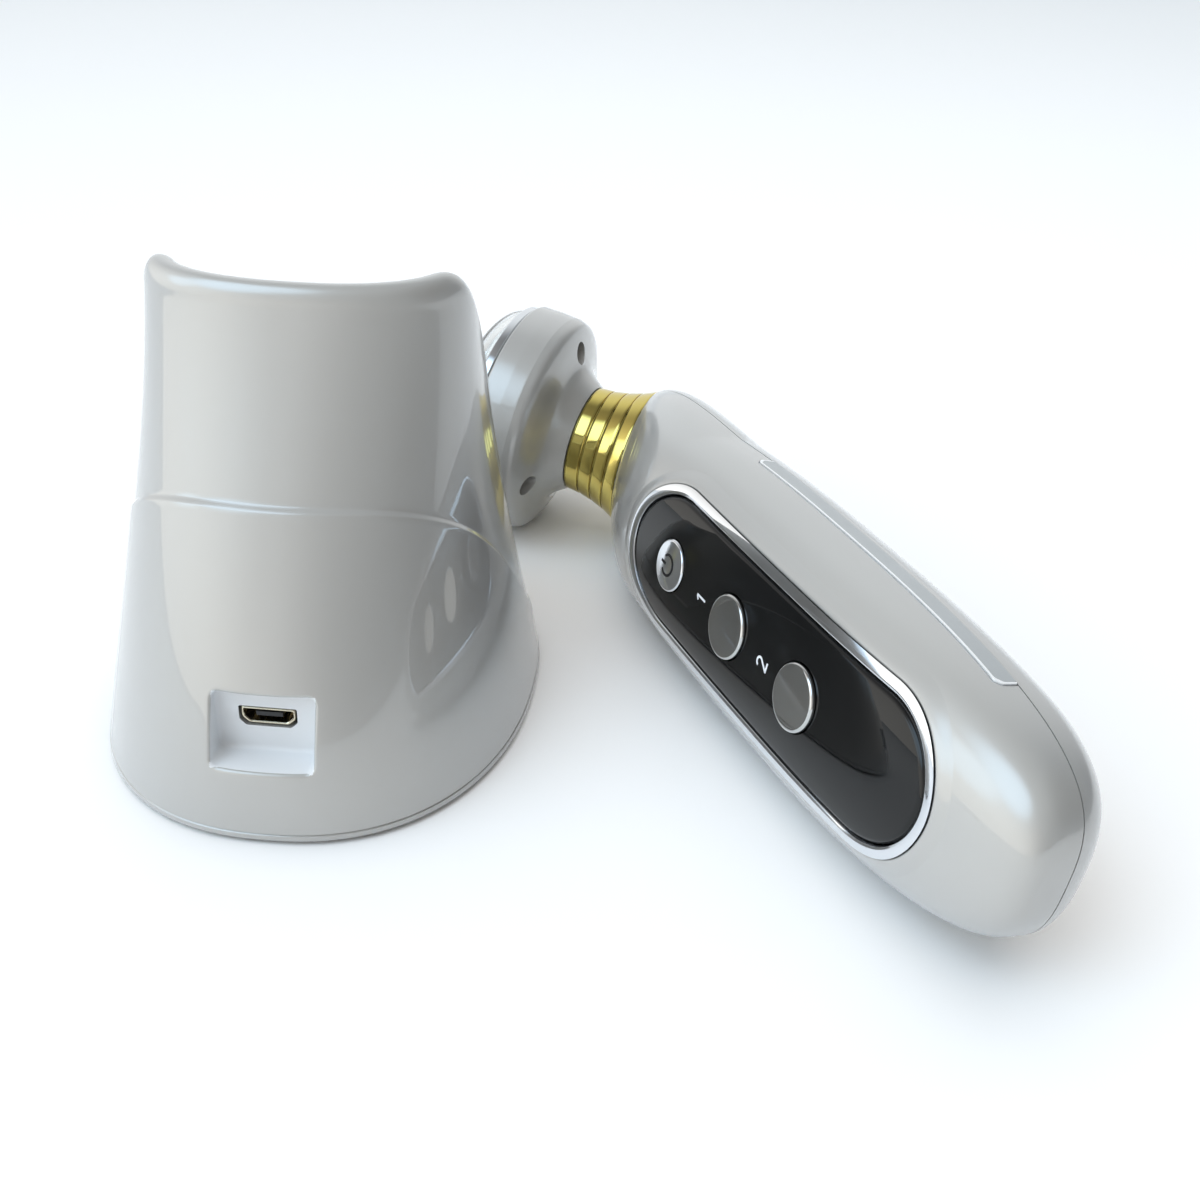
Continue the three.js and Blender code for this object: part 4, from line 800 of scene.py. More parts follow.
def stand_rows():
    """The shell's rings from skirt over rim to inner wall, and the number of the first inner ring."""
    shares = np.linspace(0, 1, 200)
    rear_lean = np.arctan2(-np.gradient(rear_depth(shares), shares)[-4], STAND_HEIGHT)
    lean = rear_lean * np.clip(-np.sin(stand_angles), 0, 1) ** 2
    crease_top = crease_heights + CREASE_BLEND
    lip_foot = rim_heights - LIP_REACH * (1 - np.sin(lean))
    heights = [mixed(shell_bottom, crease_heights, share) for share in SKIRT_SHARES]
    heights += [mixed(crease_heights, crease_top, share) for share in np.linspace(0, 1, 9)[1:]]
    heights += [mixed(crease_top, lip_foot, share) for share in np.linspace(0, 1, 46)[1:]]
    rows = [stand_wall(stand_angles, z) for z in heights]
    for share in np.linspace(0, 1, 25)[1:]:
        turn = mixed(lean, math.pi, share)
        ring = stand_point(stand_angles, lip_foot, LIP_RADIUS * (np.cos(lean) - np.cos(turn)))
        rise = np.where(turn < math.pi / 2, LIP_REACH, LIP_RADIUS)
        ring[:, 2] = rim_heights - rise * (1 - np.sin(turn))
        rows.append(ring)
    rows.append(stand_point(stand_angles, lip_ends, 2 * LIP_RADIUS))
    inner = [stand_point(stand_angles, mixed(lip_ends, shell_bottom, share), SHELL_WALL)
             for share in INNER_SHARES]
    return rows + inner, len(rows)


def window(points, first_row, last_row):
    """The loop of point numbers about the inlet recess in these rows, and the cells inside the loop."""
    x, y, z = np.moveaxis(points.reshape(-1, STAND_COLUMNS, 3)[first_row:last_row], -1, 0)
    inside = (y < 0) & (abs(x) < RECESS_HALF_WIDTH + WINDOW_MARGIN)
    inside &= (z > RECESS_LOW - WINDOW_MARGIN) & (z < RECESS_HIGH + WINDOW_MARGIN)
    found = np.argwhere(inside) + (first_row, 0)
    low_row, low_column = found.min(0).tolist()
    high_row, high_column = found.max(0).tolist()
    across, up = range(low_column, high_column), range(low_row, high_row)
    edge = [(low_row, c) for c in across] + [(r, high_column) for r in up]
    edge += [(high_row, c + 1) for c in across[::-1]] + [(r + 1, low_column) for r in up[::-1]]
    return [r * STAND_COLUMNS + c for r, c in edge], {(r, c) for r in up for c in across}


def stand_shell():
    """Outer wall with skirt and crease, rounded rim and inner wall, and the inlet recess in the rear."""
    rows, first_inner = stand_rows()
    points = np.vstack(rows)
    outer_edge, outer_cells = window(points, 0, len(SKIRT_SHARES))
    inner_edge, inner_cells = window(points, first_inner, len(rows))
    faces = grid_faces(len(rows), STAND_COLUMNS, closed=True, holes=outer_cells | inner_cells)
    points = points.tolist()

    def add(ring):
        start = len(points)
        points.extend(ring.tolist())
        return list(range(start, start + len(ring)))

    def on_wall(growth, depth):
        return wall_point(recess_outline(growth), stand_wall, 0.0) + (0, depth, 0)

    mouth_arc = arc((MOUTH_FILLET, MOUTH_FILLET), MOUTH_FILLET, 270, 180, 7)
    mouth = [(growth, 0) for growth in (*MOUTH_MARGINS, MOUTH_FILLET)]
    mouth_rings = [on_wall(*place) for place in [*mouth, *mouth_arc[1:]]]
    walls = [mouth_rings[-1].copy() for _ in range(2)]
    for wall, share in zip(walls, (0.4, 0.8)):
        wall[:, 1] = mixed(wall[:, 1], recess_back - BACK_FILLET, share)
    back_arc = arc((-BACK_FILLET, recess_back - BACK_FILLET), BACK_FILLET, 0, 90, 6)
    back_rings = [at_y(recess_outline(growth), y) for growth, y in back_arc]
    rings = [add(ring) for ring in mouth_rings + walls + back_rings]
    port = usb_outline(GAP / 2)
    port_front, port_back = (add(at_y(port, recess_back + depth)) for depth in (0, RECESS_WALL))
    pocket_back = add(at_y(recess_outline(RECESS_WALL), recess_back + RECESS_WALL))
    pocket_mouth = add(wall_point(recess_outline(RECESS_WALL), stand_point, SHELL_WALL))
    faces += zipped(outer_edge, rings[0], points, RECESS_MIDDLE)
    for low, high in zip(rings, rings[1:]):
        faces += between(low, high)
    faces += zipped(rings[-1], port_front, points, USB_Z) + between(port_front, port_back)
    faces += [face[::-1] for face in zipped(pocket_back, port_back, points, USB_Z)]
    faces += between(pocket_back, pocket_mouth)
    faces += [face[::-1] for face in zipped(inner_edge[::-1], pocket_mouth, points, RECESS_MIDDLE)]
    return shaped("fine_stand_shell", (points, faces))


def recess_faces(mesh):
    """The faces inside the inlet recess, which is moulded in the paler plastic."""
    found = []
    low, high = RECESS_LOW - INSIDE_MARGIN, RECESS_HIGH + INSIDE_MARGIN
    for polygon in mesh.polygons:
        x, y, z = polygon.center
        if abs(x) < RECESS_HALF_WIDTH + INSIDE_MARGIN and low < z < high and y < recess_back + BACK_MARGIN:
            found.append(polygon.index)
    return found


def base_cover():
    """The bottom plate: a rounded edge outside, a rim inside, a seat for the mat and sunk screw holes."""
    floor_z = MAT_PROUD + COVER_FLOOR
    rim_top = floor_z + COVER_RIM_HEIGHT
    plug = SHELL_WALL + GAP
    well = plug + COVER_RIM_WIDTH
    rows = [*arc((MAT_PROUD + COVER_ROUND, COVER_ROUND), COVER_ROUND, 180, 270, 6),
            (cover_top - COVER_CHAMFER, 0), (cover_top, COVER_CHAMFER), (cover_top, plug),
            (rim_top, plug), (rim_top, well), (floor_z, well)]
    rings = [stand_point(stand_angles, z, inset) for z, inset in rows]
    seat = rounded_rectangle(MAT_HALF_WIDTH + GAP, MAT_REAR_Y - GAP, MAT_FRONT_Y + GAP, MAT_CORNER + GAP)
    hole = rod(COVER_SCREW["head"] + GAP, BELOW, floor_z - GAP, 48)
    holes = [moved(hole, (x, y, 0)) for x, y in COVER_SCREW_PLACES]
    piece = new_object("fine_base_cover", *loft(rings))
    return shade(cut(piece, prism(seat, BELOW, MAT_PROUD + MAT_SEAT), *holes))


def base_mat():
    """The rubber mat, with a chamfer below and a finer one above."""
    height = MAT_PROUD + MAT_SEAT - GAP
    rows = [(MAT_FOOT[0], 0), (0, MAT_FOOT[1]), (0, height - MAT_CHAMFER), (MAT_CHAMFER, height)]
    return shaped("fine_base_mat", loft([at_z(rounded_rectangle(
        MAT_HALF_WIDTH - inset, MAT_REAR_Y + inset, MAT_FRONT_Y - inset, MAT_CORNER - inset), z)
        for inset, z in rows]))


# Cup
def floor_point(inset, z):
    x = (CUP_HALF_X - inset) * rounded(np.cos(stand_angles), STAND_POWER)
    y = CUP_CENTRE_Y + (CUP_HALF_Y - inset) * rounded(np.sin(stand_angles), STAND_POWER)
    return np.stack(np.broadcast_arrays(x, y, z), -1)


def cup_side(growth):
    fillet = arc((CUP_FILLET - growth, CUP_FLOOR + CUP_FILLET - growth), CUP_FILLET, 270, 180, 9)
    cup_rim = SHELL_WALL + CUP_SIDE_CLEARANCE + CUP_WALL
    top = stand_point(stand_angles, lip_ends - CUP_TOP_CLEARANCE, cup_rim - growth)
    low = floor_point(-growth, CUP_FLOOR + CUP_FILLET)
    side = [mixed(top, low, share) for share in np.linspace(1, 0, 24)]
    return [floor_point(*place) for place in fillet[:-1]] + side


def contact_place(side, y=CUP_CENTRE_Y - CONTACT_BACK):
    return side * CONTACT_SPACING / 2, y, 0


def stand_liner():
    piece = new_object("fine_stand_liner", *loft(cup_side(CUP_WALL) + cup_side(0)[::-1]))
    hole = rod(BARREL_RADIUS + GAP, 0, FAR, 48)
    return shade(cut(piece, *[moved(hole, contact_place(side)) for side, _ in SIDES]))


# Inlet
def usb_shell():
    """A thin folded shell with a flared lip."""
    front = recess_back + USB_SINK
    rows = [(0, USB_LENGTH), (0, USB_LIP), (USB_FLARE[0], 0), (USB_WALL - USB_FLARE[1], 0),
            (USB_WALL, USB_LIP), (USB_WALL, USB_LENGTH - USB_BACK)]
    rings = [at_y(usb_outline(-GAP / 2 - inset), front + y) for inset, y in rows]
    return shaped("fine_usb_shell", loft(rings))


def usb_tongue():
    front = recess_back + TONGUE_SINK
    low = (-TONGUE_HALF_WIDTH, front, USB_Z - TONGUE_HALF_HEIGHT)
    high = (TONGUE_HALF_WIDTH, front + TONGUE_LENGTH, USB_Z + TONGUE_HALF_HEIGHT)
    return shaped("fine_usb_tongue", box(low, high))


def usb_contacts():
    """Five gold fingers on the tongue's underside."""
    front = recess_back + FINGER_SINK
    low_z, high_z = (USB_Z - fall for fall in FINGER_FALL)
    finger = box((-FINGER_HALF_WIDTH, front, low_z), (FINGER_HALF_WIDTH, front + FINGER_LENGTH, high_z))
    fingers = [moved(finger, (k * FINGER_PITCH, 0, 0)) for k in range(-2, 3)]
    return shaped("usb_contacts", gathered(fingers))


def pogo_barrel():
    top = CUP_FLOOR + GAP + BARREL_FLANGE
    low = top - BARREL_LENGTH
    return turned([
        (0, low), (BARREL_RADIUS, low), (BARREL_RADIUS, top - BARREL_FLANGE),
        (BARREL_FLANGE_RADIUS, top - BARREL_FLANGE), (BARREL_FLANGE_RADIUS, top - BARREL_CHAMFER),
        (BARREL_FLANGE_RADIUS - BARREL_CHAMFER, top), (BARREL_BORE + BARREL_CHAMFER, top),
        (BARREL_BORE, top - BARREL_CHAMFER), (BARREL_BORE, low + BARREL_FLOOR),
        (0, low + BARREL_FLOOR)], 64)


def pogo_plunger():
    top = CUP_FLOOR + GAP + BARREL_FLANGE + PLUNGER_PROUD
    low = top - PLUNGER_PROUD - PLUNGER_INSIDE
    tip = arc((0, top - PLUNGER_ROUND), (PLUNGER_RADIUS, PLUNGER_ROUND), 0, 90, 9)
    return turned([(0, low), (PLUNGER_RADIUS, low), *tip[:-1], (0, top)], 48)


# Handpiece form
head_axis = np.array([0, math.sin(HEAD_TILT), math.cos(HEAD_TILT)])
head_across = np.array([0, math.cos(HEAD_TILT), -math.sin(HEAD_TILT)])
neck_body_end = NECK_HEAD_END - head_axis * NECK_LENGTH
ring_front = neck_body_end + head_across * NECK_BODY_RADIUS
ring_rear = neck_body_end - head_across * NECK_BODY_RADIUS
front_profile = [
    (0, FRONT_DEPTH, BEND_START_Z), (0, FRONT_DEPTH, BEND_START_Z + BEND_FRONT_EASE[0]),
    (0, ring_front[1] + BEND_FRONT_EASE[1], ring_front[2] - BEND_FRONT_EASE[2]), ring_front]
rear_profile = [
    (0, -REAR_DEPTH, BEND_START_Z),
    (0, -REAR_DEPTH - BEND_REAR_EASE[0], ring_rear[2] - BEND_REAR_EASE[1]),
    (0, ring_rear[1] - BEND_REAR_EASE[2], ring_rear[2] - BEND_REAR_EASE[3]), ring_rear]


def tail_fall(share, power):
    return max(1 - min(max(share, 0), 1) ** power, 0) ** (1 / power)


def body_halves(z):
    """Half the body's width, and its depths to the front and the rear, at a height below the bend."""
    side = (BODY_HALF_WIDTH * tail_fall(z / TAIL_Z, TAIL_POWER)
            - (BODY_HALF_WIDTH - BEND_HALF_WIDTH) * max(z / BEND_START_Z, 0) ** 2)
    sag = FRONT_SAG * (max(BEND_START_Z - z, 0) / (BEND_START_Z - TAIL_Z)) ** 2
    front = TIP_DEPTH + (FRONT_DEPTH - sag - TIP_DEPTH) * tail_fall(
        (TAIL_Z + FRONT_TAIL_LENGTH - z) / FRONT_TAIL_LENGTH, FRONT_TAIL_POWER)
    rear = TIP_DEPTH + (REAR_DEPTH - TIP_DEPTH) * tail_fall(
        (TAIL_Z + REAR_TAIL_LENGTH - z) / REAR_TAIL_LENGTH, REAR_TAIL_POWER)
    return side, front, rear


def body_rings(growth=0.0, columns=BODY_COLUMNS, detail=1.0):
    """The body's sections from the tail to the neck, grown outwards or drawn in."""
    angles = np.arange(columns) / columns * TAU
    rings = []

    def section(front, rear, side, power):
        ring = (front + rear) / 2 + np.outer(rounded(np.sin(angles), power), (front - rear) / 2)
        ring[:, 0] += side * rounded(np.cos(angles), power)
        rings.append(ring)

    def straight(z, place):
        side, front, rear = body_halves(z)
        section(np.array([0, front + growth, place]), np.array([0, -rear - growth, place]),
                max(side + growth, THINNEST_SIDE), BODY_POWER)

    tail_count, straight_count, bend_count = (int(count * detail) for count in BODY_RING_COUNTS)
    for step in np.linspace(TAIL_RING_START, 1, tail_count):
        share = 1 - math.cos(step * math.pi / 2)
        z = TAIL_Z + TAIL_RING_SPAN * share
        straight(z, z - growth * (1 - share))
    for step in np.linspace(0, 1, straight_count)[1:]:
        z = mixed(TAIL_Z + TAIL_RING_SPAN, BEND_START_Z, step)
        straight(z, z)
    shares = np.linspace(0, 1, bend_count)[1:]
    for share, front, rear in zip(shares, bezier(front_profile, shares), bezier(rear_profile, shares)):
        outward = (front - rear) / np.linalg.norm(front - rear) * growth
        section(front + outward, rear - outward,
                mixed(BEND_HALF_WIDTH, NECK_BODY_RADIUS, share ** BEND_POWER) + growth,
                mixed(BODY_POWER, 2, share))
    return rings


def body_core(depth):
    """The body drawn in by a depth, as a coarser solid that hollows pieces out."""
    return loft(body_rings(-depth, BODY_COLUMNS // 2, 0.5))


body_solid = loft(body_rings())
body_skin = Skin(*body_solid)
# Stands a turned solid on the tilted head's axis, with height 0 at the neck's head end
on_head_axis = np.eye(4)
on_head_axis[:3] = np.column_stack([(1, 0, 0), head_across, head_axis, NECK_HEAD_END])


def upright(z):
    """Stands a solid turned about z on the body, pointing out of the panel."""
    return np.array([[1, 0, 0, 0], [0, 0, 1, 0], [0, -1, 0, z], [0, 0, 0, 1]])


def panel_outline(growth, count=320):
    """A long round-ended outline in x and z; its ends are drawn out a little."""
    half = LENS_HALF_WIDTH + growth
    end = LENS_HALF_WIDTH * PANEL_END_STRETCH + growth
    head = arc((0, PANEL_HEAD_Z + growth - end), (half, end), 0, 180, 60)
    tail = arc((0, PANEL_TAIL_Z - growth + end), (half, end), 180, 360, 60)
    return evenly(np.vstack([head, tail]), count)


def bead(profile, seat):
    """A closed trim round the panel, on a surface. The profile holds (outward, height) pairs."""
    outline = panel_outline(0)
    along = np.roll(outline, -1, 0) - np.roll(outline, 1, 0)
    out = np.column_stack([along[:, 1], -along[:, 0]])
    out /= np.linalg.norm(out, axis=1, keepdims=True)
    points = []
    for reach, height in profile:
        for a, b in outline + out * reach:
            place, normal = seat(a, b)
            points.append(place + normal * height)
    return np.array(points), grid_faces(len(profile), len(outline), closed=True)


def body_half(name, y_low, y_high):
    """The hollow body, open at the neck, between two planes."""
    blank = loft(body_rings() + body_rings(-BODY_WALL, detail=0.5)[::-1])
    return keep(new_object(name, *blank), box((-FAR, y_low, -FAR), (FAR, y_high, FAR)))


def strip_column(side, growth=0.0, far=PARTING_Y + GAP / 2):
    """The side strip's outline along x: square at the parting line, with cut corners towards the panel."""
    near = PARTING_Y + GAP / 2 + STRIP_WIDTH + growth
    head, tail = STRIP_HEAD_Z + growth, STRIP_TAIL_Z - growth
    outline = softened([
        (near, tail + STRIP_CHAMFER), (near, head - STRIP_CHAMFER), (near - STRIP_CHAMFER, head),
        (far, head), (far, tail), (near - STRIP_CHAMFER, tail)], steps=4)
    column = prism(outline, *STRIP_X, "x")
    return column if side > 0 else mirrored(column)


def pad_column(side, radius):
    column = rod(radius, TAIL_Z - TAIL_PAD_BELOW, TAIL_Z + TAIL_PAD_REACH)
    return moved(column, contact_place(side, -CONTACT_BACK))


def front_shell():
    piece = body_half("fine_front_shell", PARTING_Y + PARTING_GAP / 2, FAR)
    cut(piece, prism(panel_outline(BEZEL_WIDTH + PANEL_GAP, 240), 0, FAR / 4, "y"))
    cut(piece, *[strip_column(side, STRIP_CLEARANCE, PARTING_Y - 1) for side in (1, -1)])
    return shade(piece, body_skin)


def rear_shell():
    piece = body_half("fine_rear_shell", -FAR, PARTING_Y - PARTING_GAP / 2)
    cut(piece, *[pad_column(side, TAIL_PAD_RADIUS + TAIL_PAD_CLEARANCE) for side, _ in SIDES])
    return shade(piece, body_skin)


def panel_bezel():
    """Bright trim round the panel: a flat band, chamfered inside and undercut at the shell's lip."""
    profile = [
        (PANEL_GAP, -PANEL_THICKNESS), *[(PANEL_GAP + reach, height) for reach, height in BEZEL_CHAMFER],
        *arc((BEZEL_WIDTH, BEZEL_PROUD - BEZEL_UNDERCUT), BEZEL_UNDERCUT, 90, 180, 9),
        (BEZEL_WIDTH, -PANEL_THICKNESS)]
    return shaped("fine_panel_bezel", bead(profile, body_skin.front), sharp=50)


def panel_lip():
    """The shell's edge round the bezel stands a little proud and dies away into the surface."""
    inner = BEZEL_WIDTH + PANEL_GAP - OVERLAP
    crest = inner + PANEL_LIP_ROUND
    corner = arc((crest, PANEL_LIP_HEIGHT - PANEL_LIP_ROUND), PANEL_LIP_ROUND, 180, 90, 9)
    profile = [(inner, PANEL_LIP_FOOT), *corner]
    for share in np.linspace(0, 1, 14)[1:]:
        profile.append((mixed(crest, inner + PANEL_LIP_WIDTH, share),
                        PANEL_LIP_HEIGHT * (1 - smooth(share)) - PANEL_LIP_DIP * share))
    profile.append((inner + PANEL_LIP_WIDTH, PANEL_LIP_FOOT))
    return shaped("panel_lip", bead(profile, body_skin.front), sharp=60)


def panel_lens():
    """The black panel: a plate with its button holes, and the smooth skin that it lies on."""
    solid = loft(body_rings(LENS_PROUD))
    piece = new_object("fine_panel_lens", *solid)
    keep(piece, prism(panel_outline(LENS_OVERLAP - LENS_EDGE, 240), 0, FAR / 4, "y"))
    holes = [placed(rod(radius + BUTTON_HOLE_GAP, 0, FAR / 4, 128), upright(z))
             for z, radius, _ in BUTTONS.values()]
    cut(piece, body_core(PANEL_THICKNESS), *holes)
    skin = Skin(*solid)
    return shade(piece, skin), skin


def lens_edge(skin):
    """The panel's rounded edge, which falls to the bezel."""
    profile = [(-LENS_EDGE, -PANEL_THICKNESS), (-LENS_EDGE, 0),
               *arc((-LENS_EDGE, -LENS_EDGE), LENS_EDGE, 90, 0, 10)[1:], (0, -PANEL_THICKNESS)]
    return shaped("panel_lens_edge", bead(profile, skin.front), sharp=60)


class Button:
    """A round push button with a mirror face, crowned on the power button and almost flat on the others."""

    def __init__(self, z, radius, crown):
        front = body_halves(z)[1]
        self.z, self.radius, self.crown = z, radius, crown
        self.reach = radius - BUTTON_EDGE
        self.top, self.foot = front + BUTTON_PROUD, front - BUTTON_DEPTH

    def height(self, distance):
        return self.top - self.crown * (distance / self.reach) ** 2

    def solid(self):
        edge = arc((self.reach, self.height(self.reach) - BUTTON_EDGE), BUTTON_EDGE, 0, 90, 12)
        face = [(distance, self.height(distance)) for distance in np.linspace(1, 0, 12)[1:] * self.reach]
        profile = [(0, self.foot), (self.radius, self.foot), *edge, *face]
        return placed(turned(profile, 128), upright(self.z))

    def seat(self, x, z):
        return np.array([x, self.height(math.hypot(x, z - self.z)), z]), np.array([0.0, 1.0, 0.0])


# Marks on the panel and on the power button: right is u, towards the head is v
def stroke(path, width):
    """A stroke along a path of u and v, as four-sided strips between y 0 and 1."""
    along = np.gradient(path, axis=0)
    side = np.column_stack([-along[:, 1], along[:, 0]])
    side *= width / 2 / np.linalg.norm(side, axis=1, keepdims=True)
    outline = np.vstack([path + side, (path - side)[::-1]]) * (-1, 1)
    size = len(outline)
    faces = []
    for k in range(len(path) - 1):
        far = size - 1 - k
        faces.append((k, k + 1, far - 1, far))
        faces.append((size + far, size + far - 1, size + k + 1, size + k))
    for k in range(size):
        after = (k + 1) % size
        faces.append((k, k + size, after + size, after))
    return np.vstack([at_y(outline, 0), at_y(outline, 1)]), faces


def numeral_one():
    return [line((0.1, -1), (0.1, 1)), line((0.04, 0.94), (-0.4, 0.55))]


def numeral_two():
    bowl = arc((0, 0.5), 0.5, 165, -35, 36)
    return [np.vstack([bowl, line(bowl[-1], (-0.52, -1))[1:]]), line((-0.62, -1), (0.56, -1))]


def power_sign():
    return [arc((0, 0), 1, 128, 412, 36), line((0, 0.35), (0, 1.3))]


def mark(name, paths, size, width, height, seat):
    """Strokes at a height on the handpiece, pressed onto the surface that seat gives for x and z."""
    points, faces = gathered([stroke(path * size, width) for path in paths])
    seated = []
    for x, level, z in points:
        place, normal = seat(x, z + height)
        seated.append(place + normal * (MARK_PROUD if level > 0 else -MARK_SINK))
    return shaped(name, (seated, faces))


def side_strips():
    """The metal strip on each side: a satin plate and a chrome edge along its near side and its ends; the edge's
    near-white finish is a painted highlight.
    """
    solid = loft(body_rings(STRIP_PROUD))
    skin = Skin(*solid)
    core = body_core(STRIP_SINK)
    made = []
    for side, name in SIDES:
        plate = keep(new_object(f"fine_side_strip_{name}", *solid), strip_column(side, -STRIP_EDGE))
        edge = keep(new_object(f"side_strip_edge_{name}", *solid), strip_column(side))
        cut(edge, strip_column(side, OVERLAP - STRIP_EDGE, PARTING_Y - 1), core)
        made.append((shade(cut(plate, core), skin), shade(edge, skin)))
    return made


def tail_contact(side, name):
    piece = keep(new_object(f"fine_tail_contact_{name}", *body_solid), pad_column(side, TAIL_PAD_RADIUS))
    return shade(cut(piece, body_core(TAIL_PAD_SINK)), body_skin)


# Neck and head
def neck_radius(share):
    return mixed(NECK_HEAD_RADIUS, NECK_BODY_RADIUS, share ** NECK_WAIST_POWER)


def neck_sleeve():
    """Four bands, each barely crowned, parted by fine grooves."""
    band = NECK_LENGTH / NECK_BANDS
    profile = [(SPIGOT_RADIUS + GAP, GAP / 2 - NECK_LENGTH)]
    for step in range(NECK_BANDS, 0, -1):
        start, end = GROOVE_HALF_WIDTH - step * band, (1 - step) * band - GROOVE_HALF_WIDTH
        for share in np.linspace(0, 1, 12):
            height = mixed(start, end, share)
            near = min(share, 1 - share) * (end - start)
            crown = NECK_CROWN * (1 - (2 * share - 1) ** 2)
            fall = NECK_EDGE * max(1 - near / NECK_EDGE_WIDTH, 0) ** 2
            profile.append((neck_radius(-height / NECK_LENGTH) + crown - fall, height))
        if step > 1:
            bottom = neck_radius((step - 1) / NECK_BANDS) - GROOVE_DEPTH
            profile += [(bottom, (1 - step) * band + side * GROOVE_FLOOR_HALF_WIDTH) for side in (-1, 1)]
    profile.append((SPIGOT_RADIUS + GAP, -NECK_HEAD_GAP))
    return shaped("fine_neck_sleeve", turned(profile, 160), sharp=40)


SCREW_ANGLES = [math.radians(degrees) for degrees in (180, -60, 60)]
ELECTRODE_ANGLES = [math.radians(degrees) for degrees in (-45, -135, -225, -315)]


def head_housing():
    """The back flares from the neck to a round-edged disc with three screw recesses."""
    places = [(HEAD_RADIUS - inset, z) for inset, z in HEAD_BACK]
    back = spline([(NECK_HEAD_RADIUS, GAP / 2), *places], 60)
    band_start = np.array([HEAD_RADIUS, HEAD_BAND_START])
    hollow = [(HEAD_RADIUS - inset, z) for inset, z in ((HEAD_WALL, HEAD_BAND_END), *HEAD_HOLLOW)]
    solid = turned([
        (SPIGOT_BORE, -SPIGOT_LENGTH), (SPIGOT_RADIUS, -SPIGOT_LENGTH), (SPIGOT_RADIUS, GAP / 2),
        *back, *[mixed(back[-1], band_start, share) for share in np.linspace(0.1, 1, 8)],
        (HEAD_RADIUS, HEAD_BAND_END - HEAD_EDGE),
        *arc((HEAD_RADIUS - HEAD_EDGE, HEAD_BAND_END - HEAD_EDGE), HEAD_EDGE, 11.459, 90, 5),
        *hollow, (SPIGOT_BORE, SPIGOT_TOP)], 224)
    flared = HEAD_RECESS_RADIUS + HEAD_RECESS_FLARE
    recess = turned([
        (0, HEAD_RECESS_START), (flared, HEAD_RECESS_START),
        (HEAD_RECESS_RADIUS, HEAD_RECESS_FLOOR - HEAD_RECESS_STRAIGHT),
        (HEAD_RECESS_RADIUS, HEAD_RECESS_FLOOR), (0, HEAD_RECESS_FLOOR)], 64)
    piece = cut(new_object("fine_head_housing", *solid),
                *[on_circle(recess, HEAD_SCREW_CIRCLE, angle) for angle in SCREW_ANGLES])
    return shade(piece, Skin(*solid))


def cross_screw(name, place, head, thickness, shank, length):
    """A pan head screw with a cross slot, whose head faces down z from its place."""
    piece = new_object(name, *turned([
        (0, 0), *[(head - inset, z) for inset, z in SCREW_EDGE], (head, thickness),
        (shank, thickness), (shank, length), (0, length)], 48))
    slot, half, depth = head * SLOT_LENGTH_SHARE, head * SLOT_WIDTH_SHARE, thickness * SLOT_DEPTH_SHARE
    for x, y in ((slot, half), (half, slot)):
        cut(piece, box((-x, -y, BELOW), (x, y, depth)))
    piece.data.transform(Matrix.Translation(place))
    return shade(piece)


ring_start = HEAD_BAND_END + GAP
ring_end = ring_start + RING_THICKNESS
lens_start = ring_end + GAP


def head_ring():
    inner = LENS_EDGE_RADIUS - RING_SEAT
    edge = arc((RING_RADIUS - RING_EDGE, ring_end - RING_EDGE), RING_EDGE, 0, 90, 6)
    return shaped("fine_head_ring", turned([
        (inner, ring_start), (RING_RADIUS - RING_CHAMFER, ring_start),
        (RING_RADIUS, ring_start + RING_CHAMFER), *edge, (inner, ring_end)], 192))


def lens_curve(radius, apex, count):
    return bezier([(radius, lens_start), (radius, mixed(lens_start, apex, LENS_SHOULDER)),
                   (radius * LENS_SPREAD, apex), (0, apex)], np.linspace(0, 1, count))


def head_lens():
    outer = lens_curve(LENS_EDGE_RADIUS, LENS_APEX, 40)[:-1]
    inner = lens_curve(LENS_EDGE_RADIUS - LENS_WALL, LENS_APEX - LENS_WALL, 40)[:-1]
    solid = turned([(0, LENS_APEX - LENS_WALL), *inner[::-1], *outer, (0, LENS_APEX)], 192)
    hole = rod(ELECTRODE_RADIUS + ELECTRODE_HOLE_GAP, 0, FAR / 4)
    piece = cut(new_object("fine_head_lens", *solid),
                *[on_circle(hole, ELECTRODE_CIRCLE, angle) for angle in ELECTRODE_ANGLES])
    return shade(piece, Skin(*solid))


def head_electrode():
    curve = lens_curve(LENS_EDGE_RADIUS, LENS_APEX, 200)[::-1]
    top = float(np.interp(ELECTRODE_CIRCLE, curve[:, 0], curve[:, 1])) + ELECTRODE_PROUD
    stem, low = ELECTRODE_STEM[0], LED_BOARD_TOP + GAP / 2
    crown = arc((0, top - ELECTRODE_ROUND), (ELECTRODE_RADIUS, ELECTRODE_ROUND), 0, 90, 14)
    return turned([(0, low), (stem, low), (stem, top - ELECTRODE_STEM[1]),
                   (ELECTRODE_RADIUS, top - ELECTRODE_DEPTH), *crown[:-1], (0, top)], 72)


def led_board():
    low, inner = LED_BOARD_TOP - LED_BOARD_THICKNESS, LED_BOARD_RADIUS - LED_BOARD_CHAMFER
    return shaped("fine_led_board", turned([
        (0, low), (inner, low), (LED_BOARD_RADIUS, low + LED_BOARD_CHAMFER),
        (LED_BOARD_RADIUS, LED_BOARD_TOP - LED_BOARD_CHAMFER), (inner, LED_BOARD_TOP),
        (0, LED_BOARD_TOP)], 144))


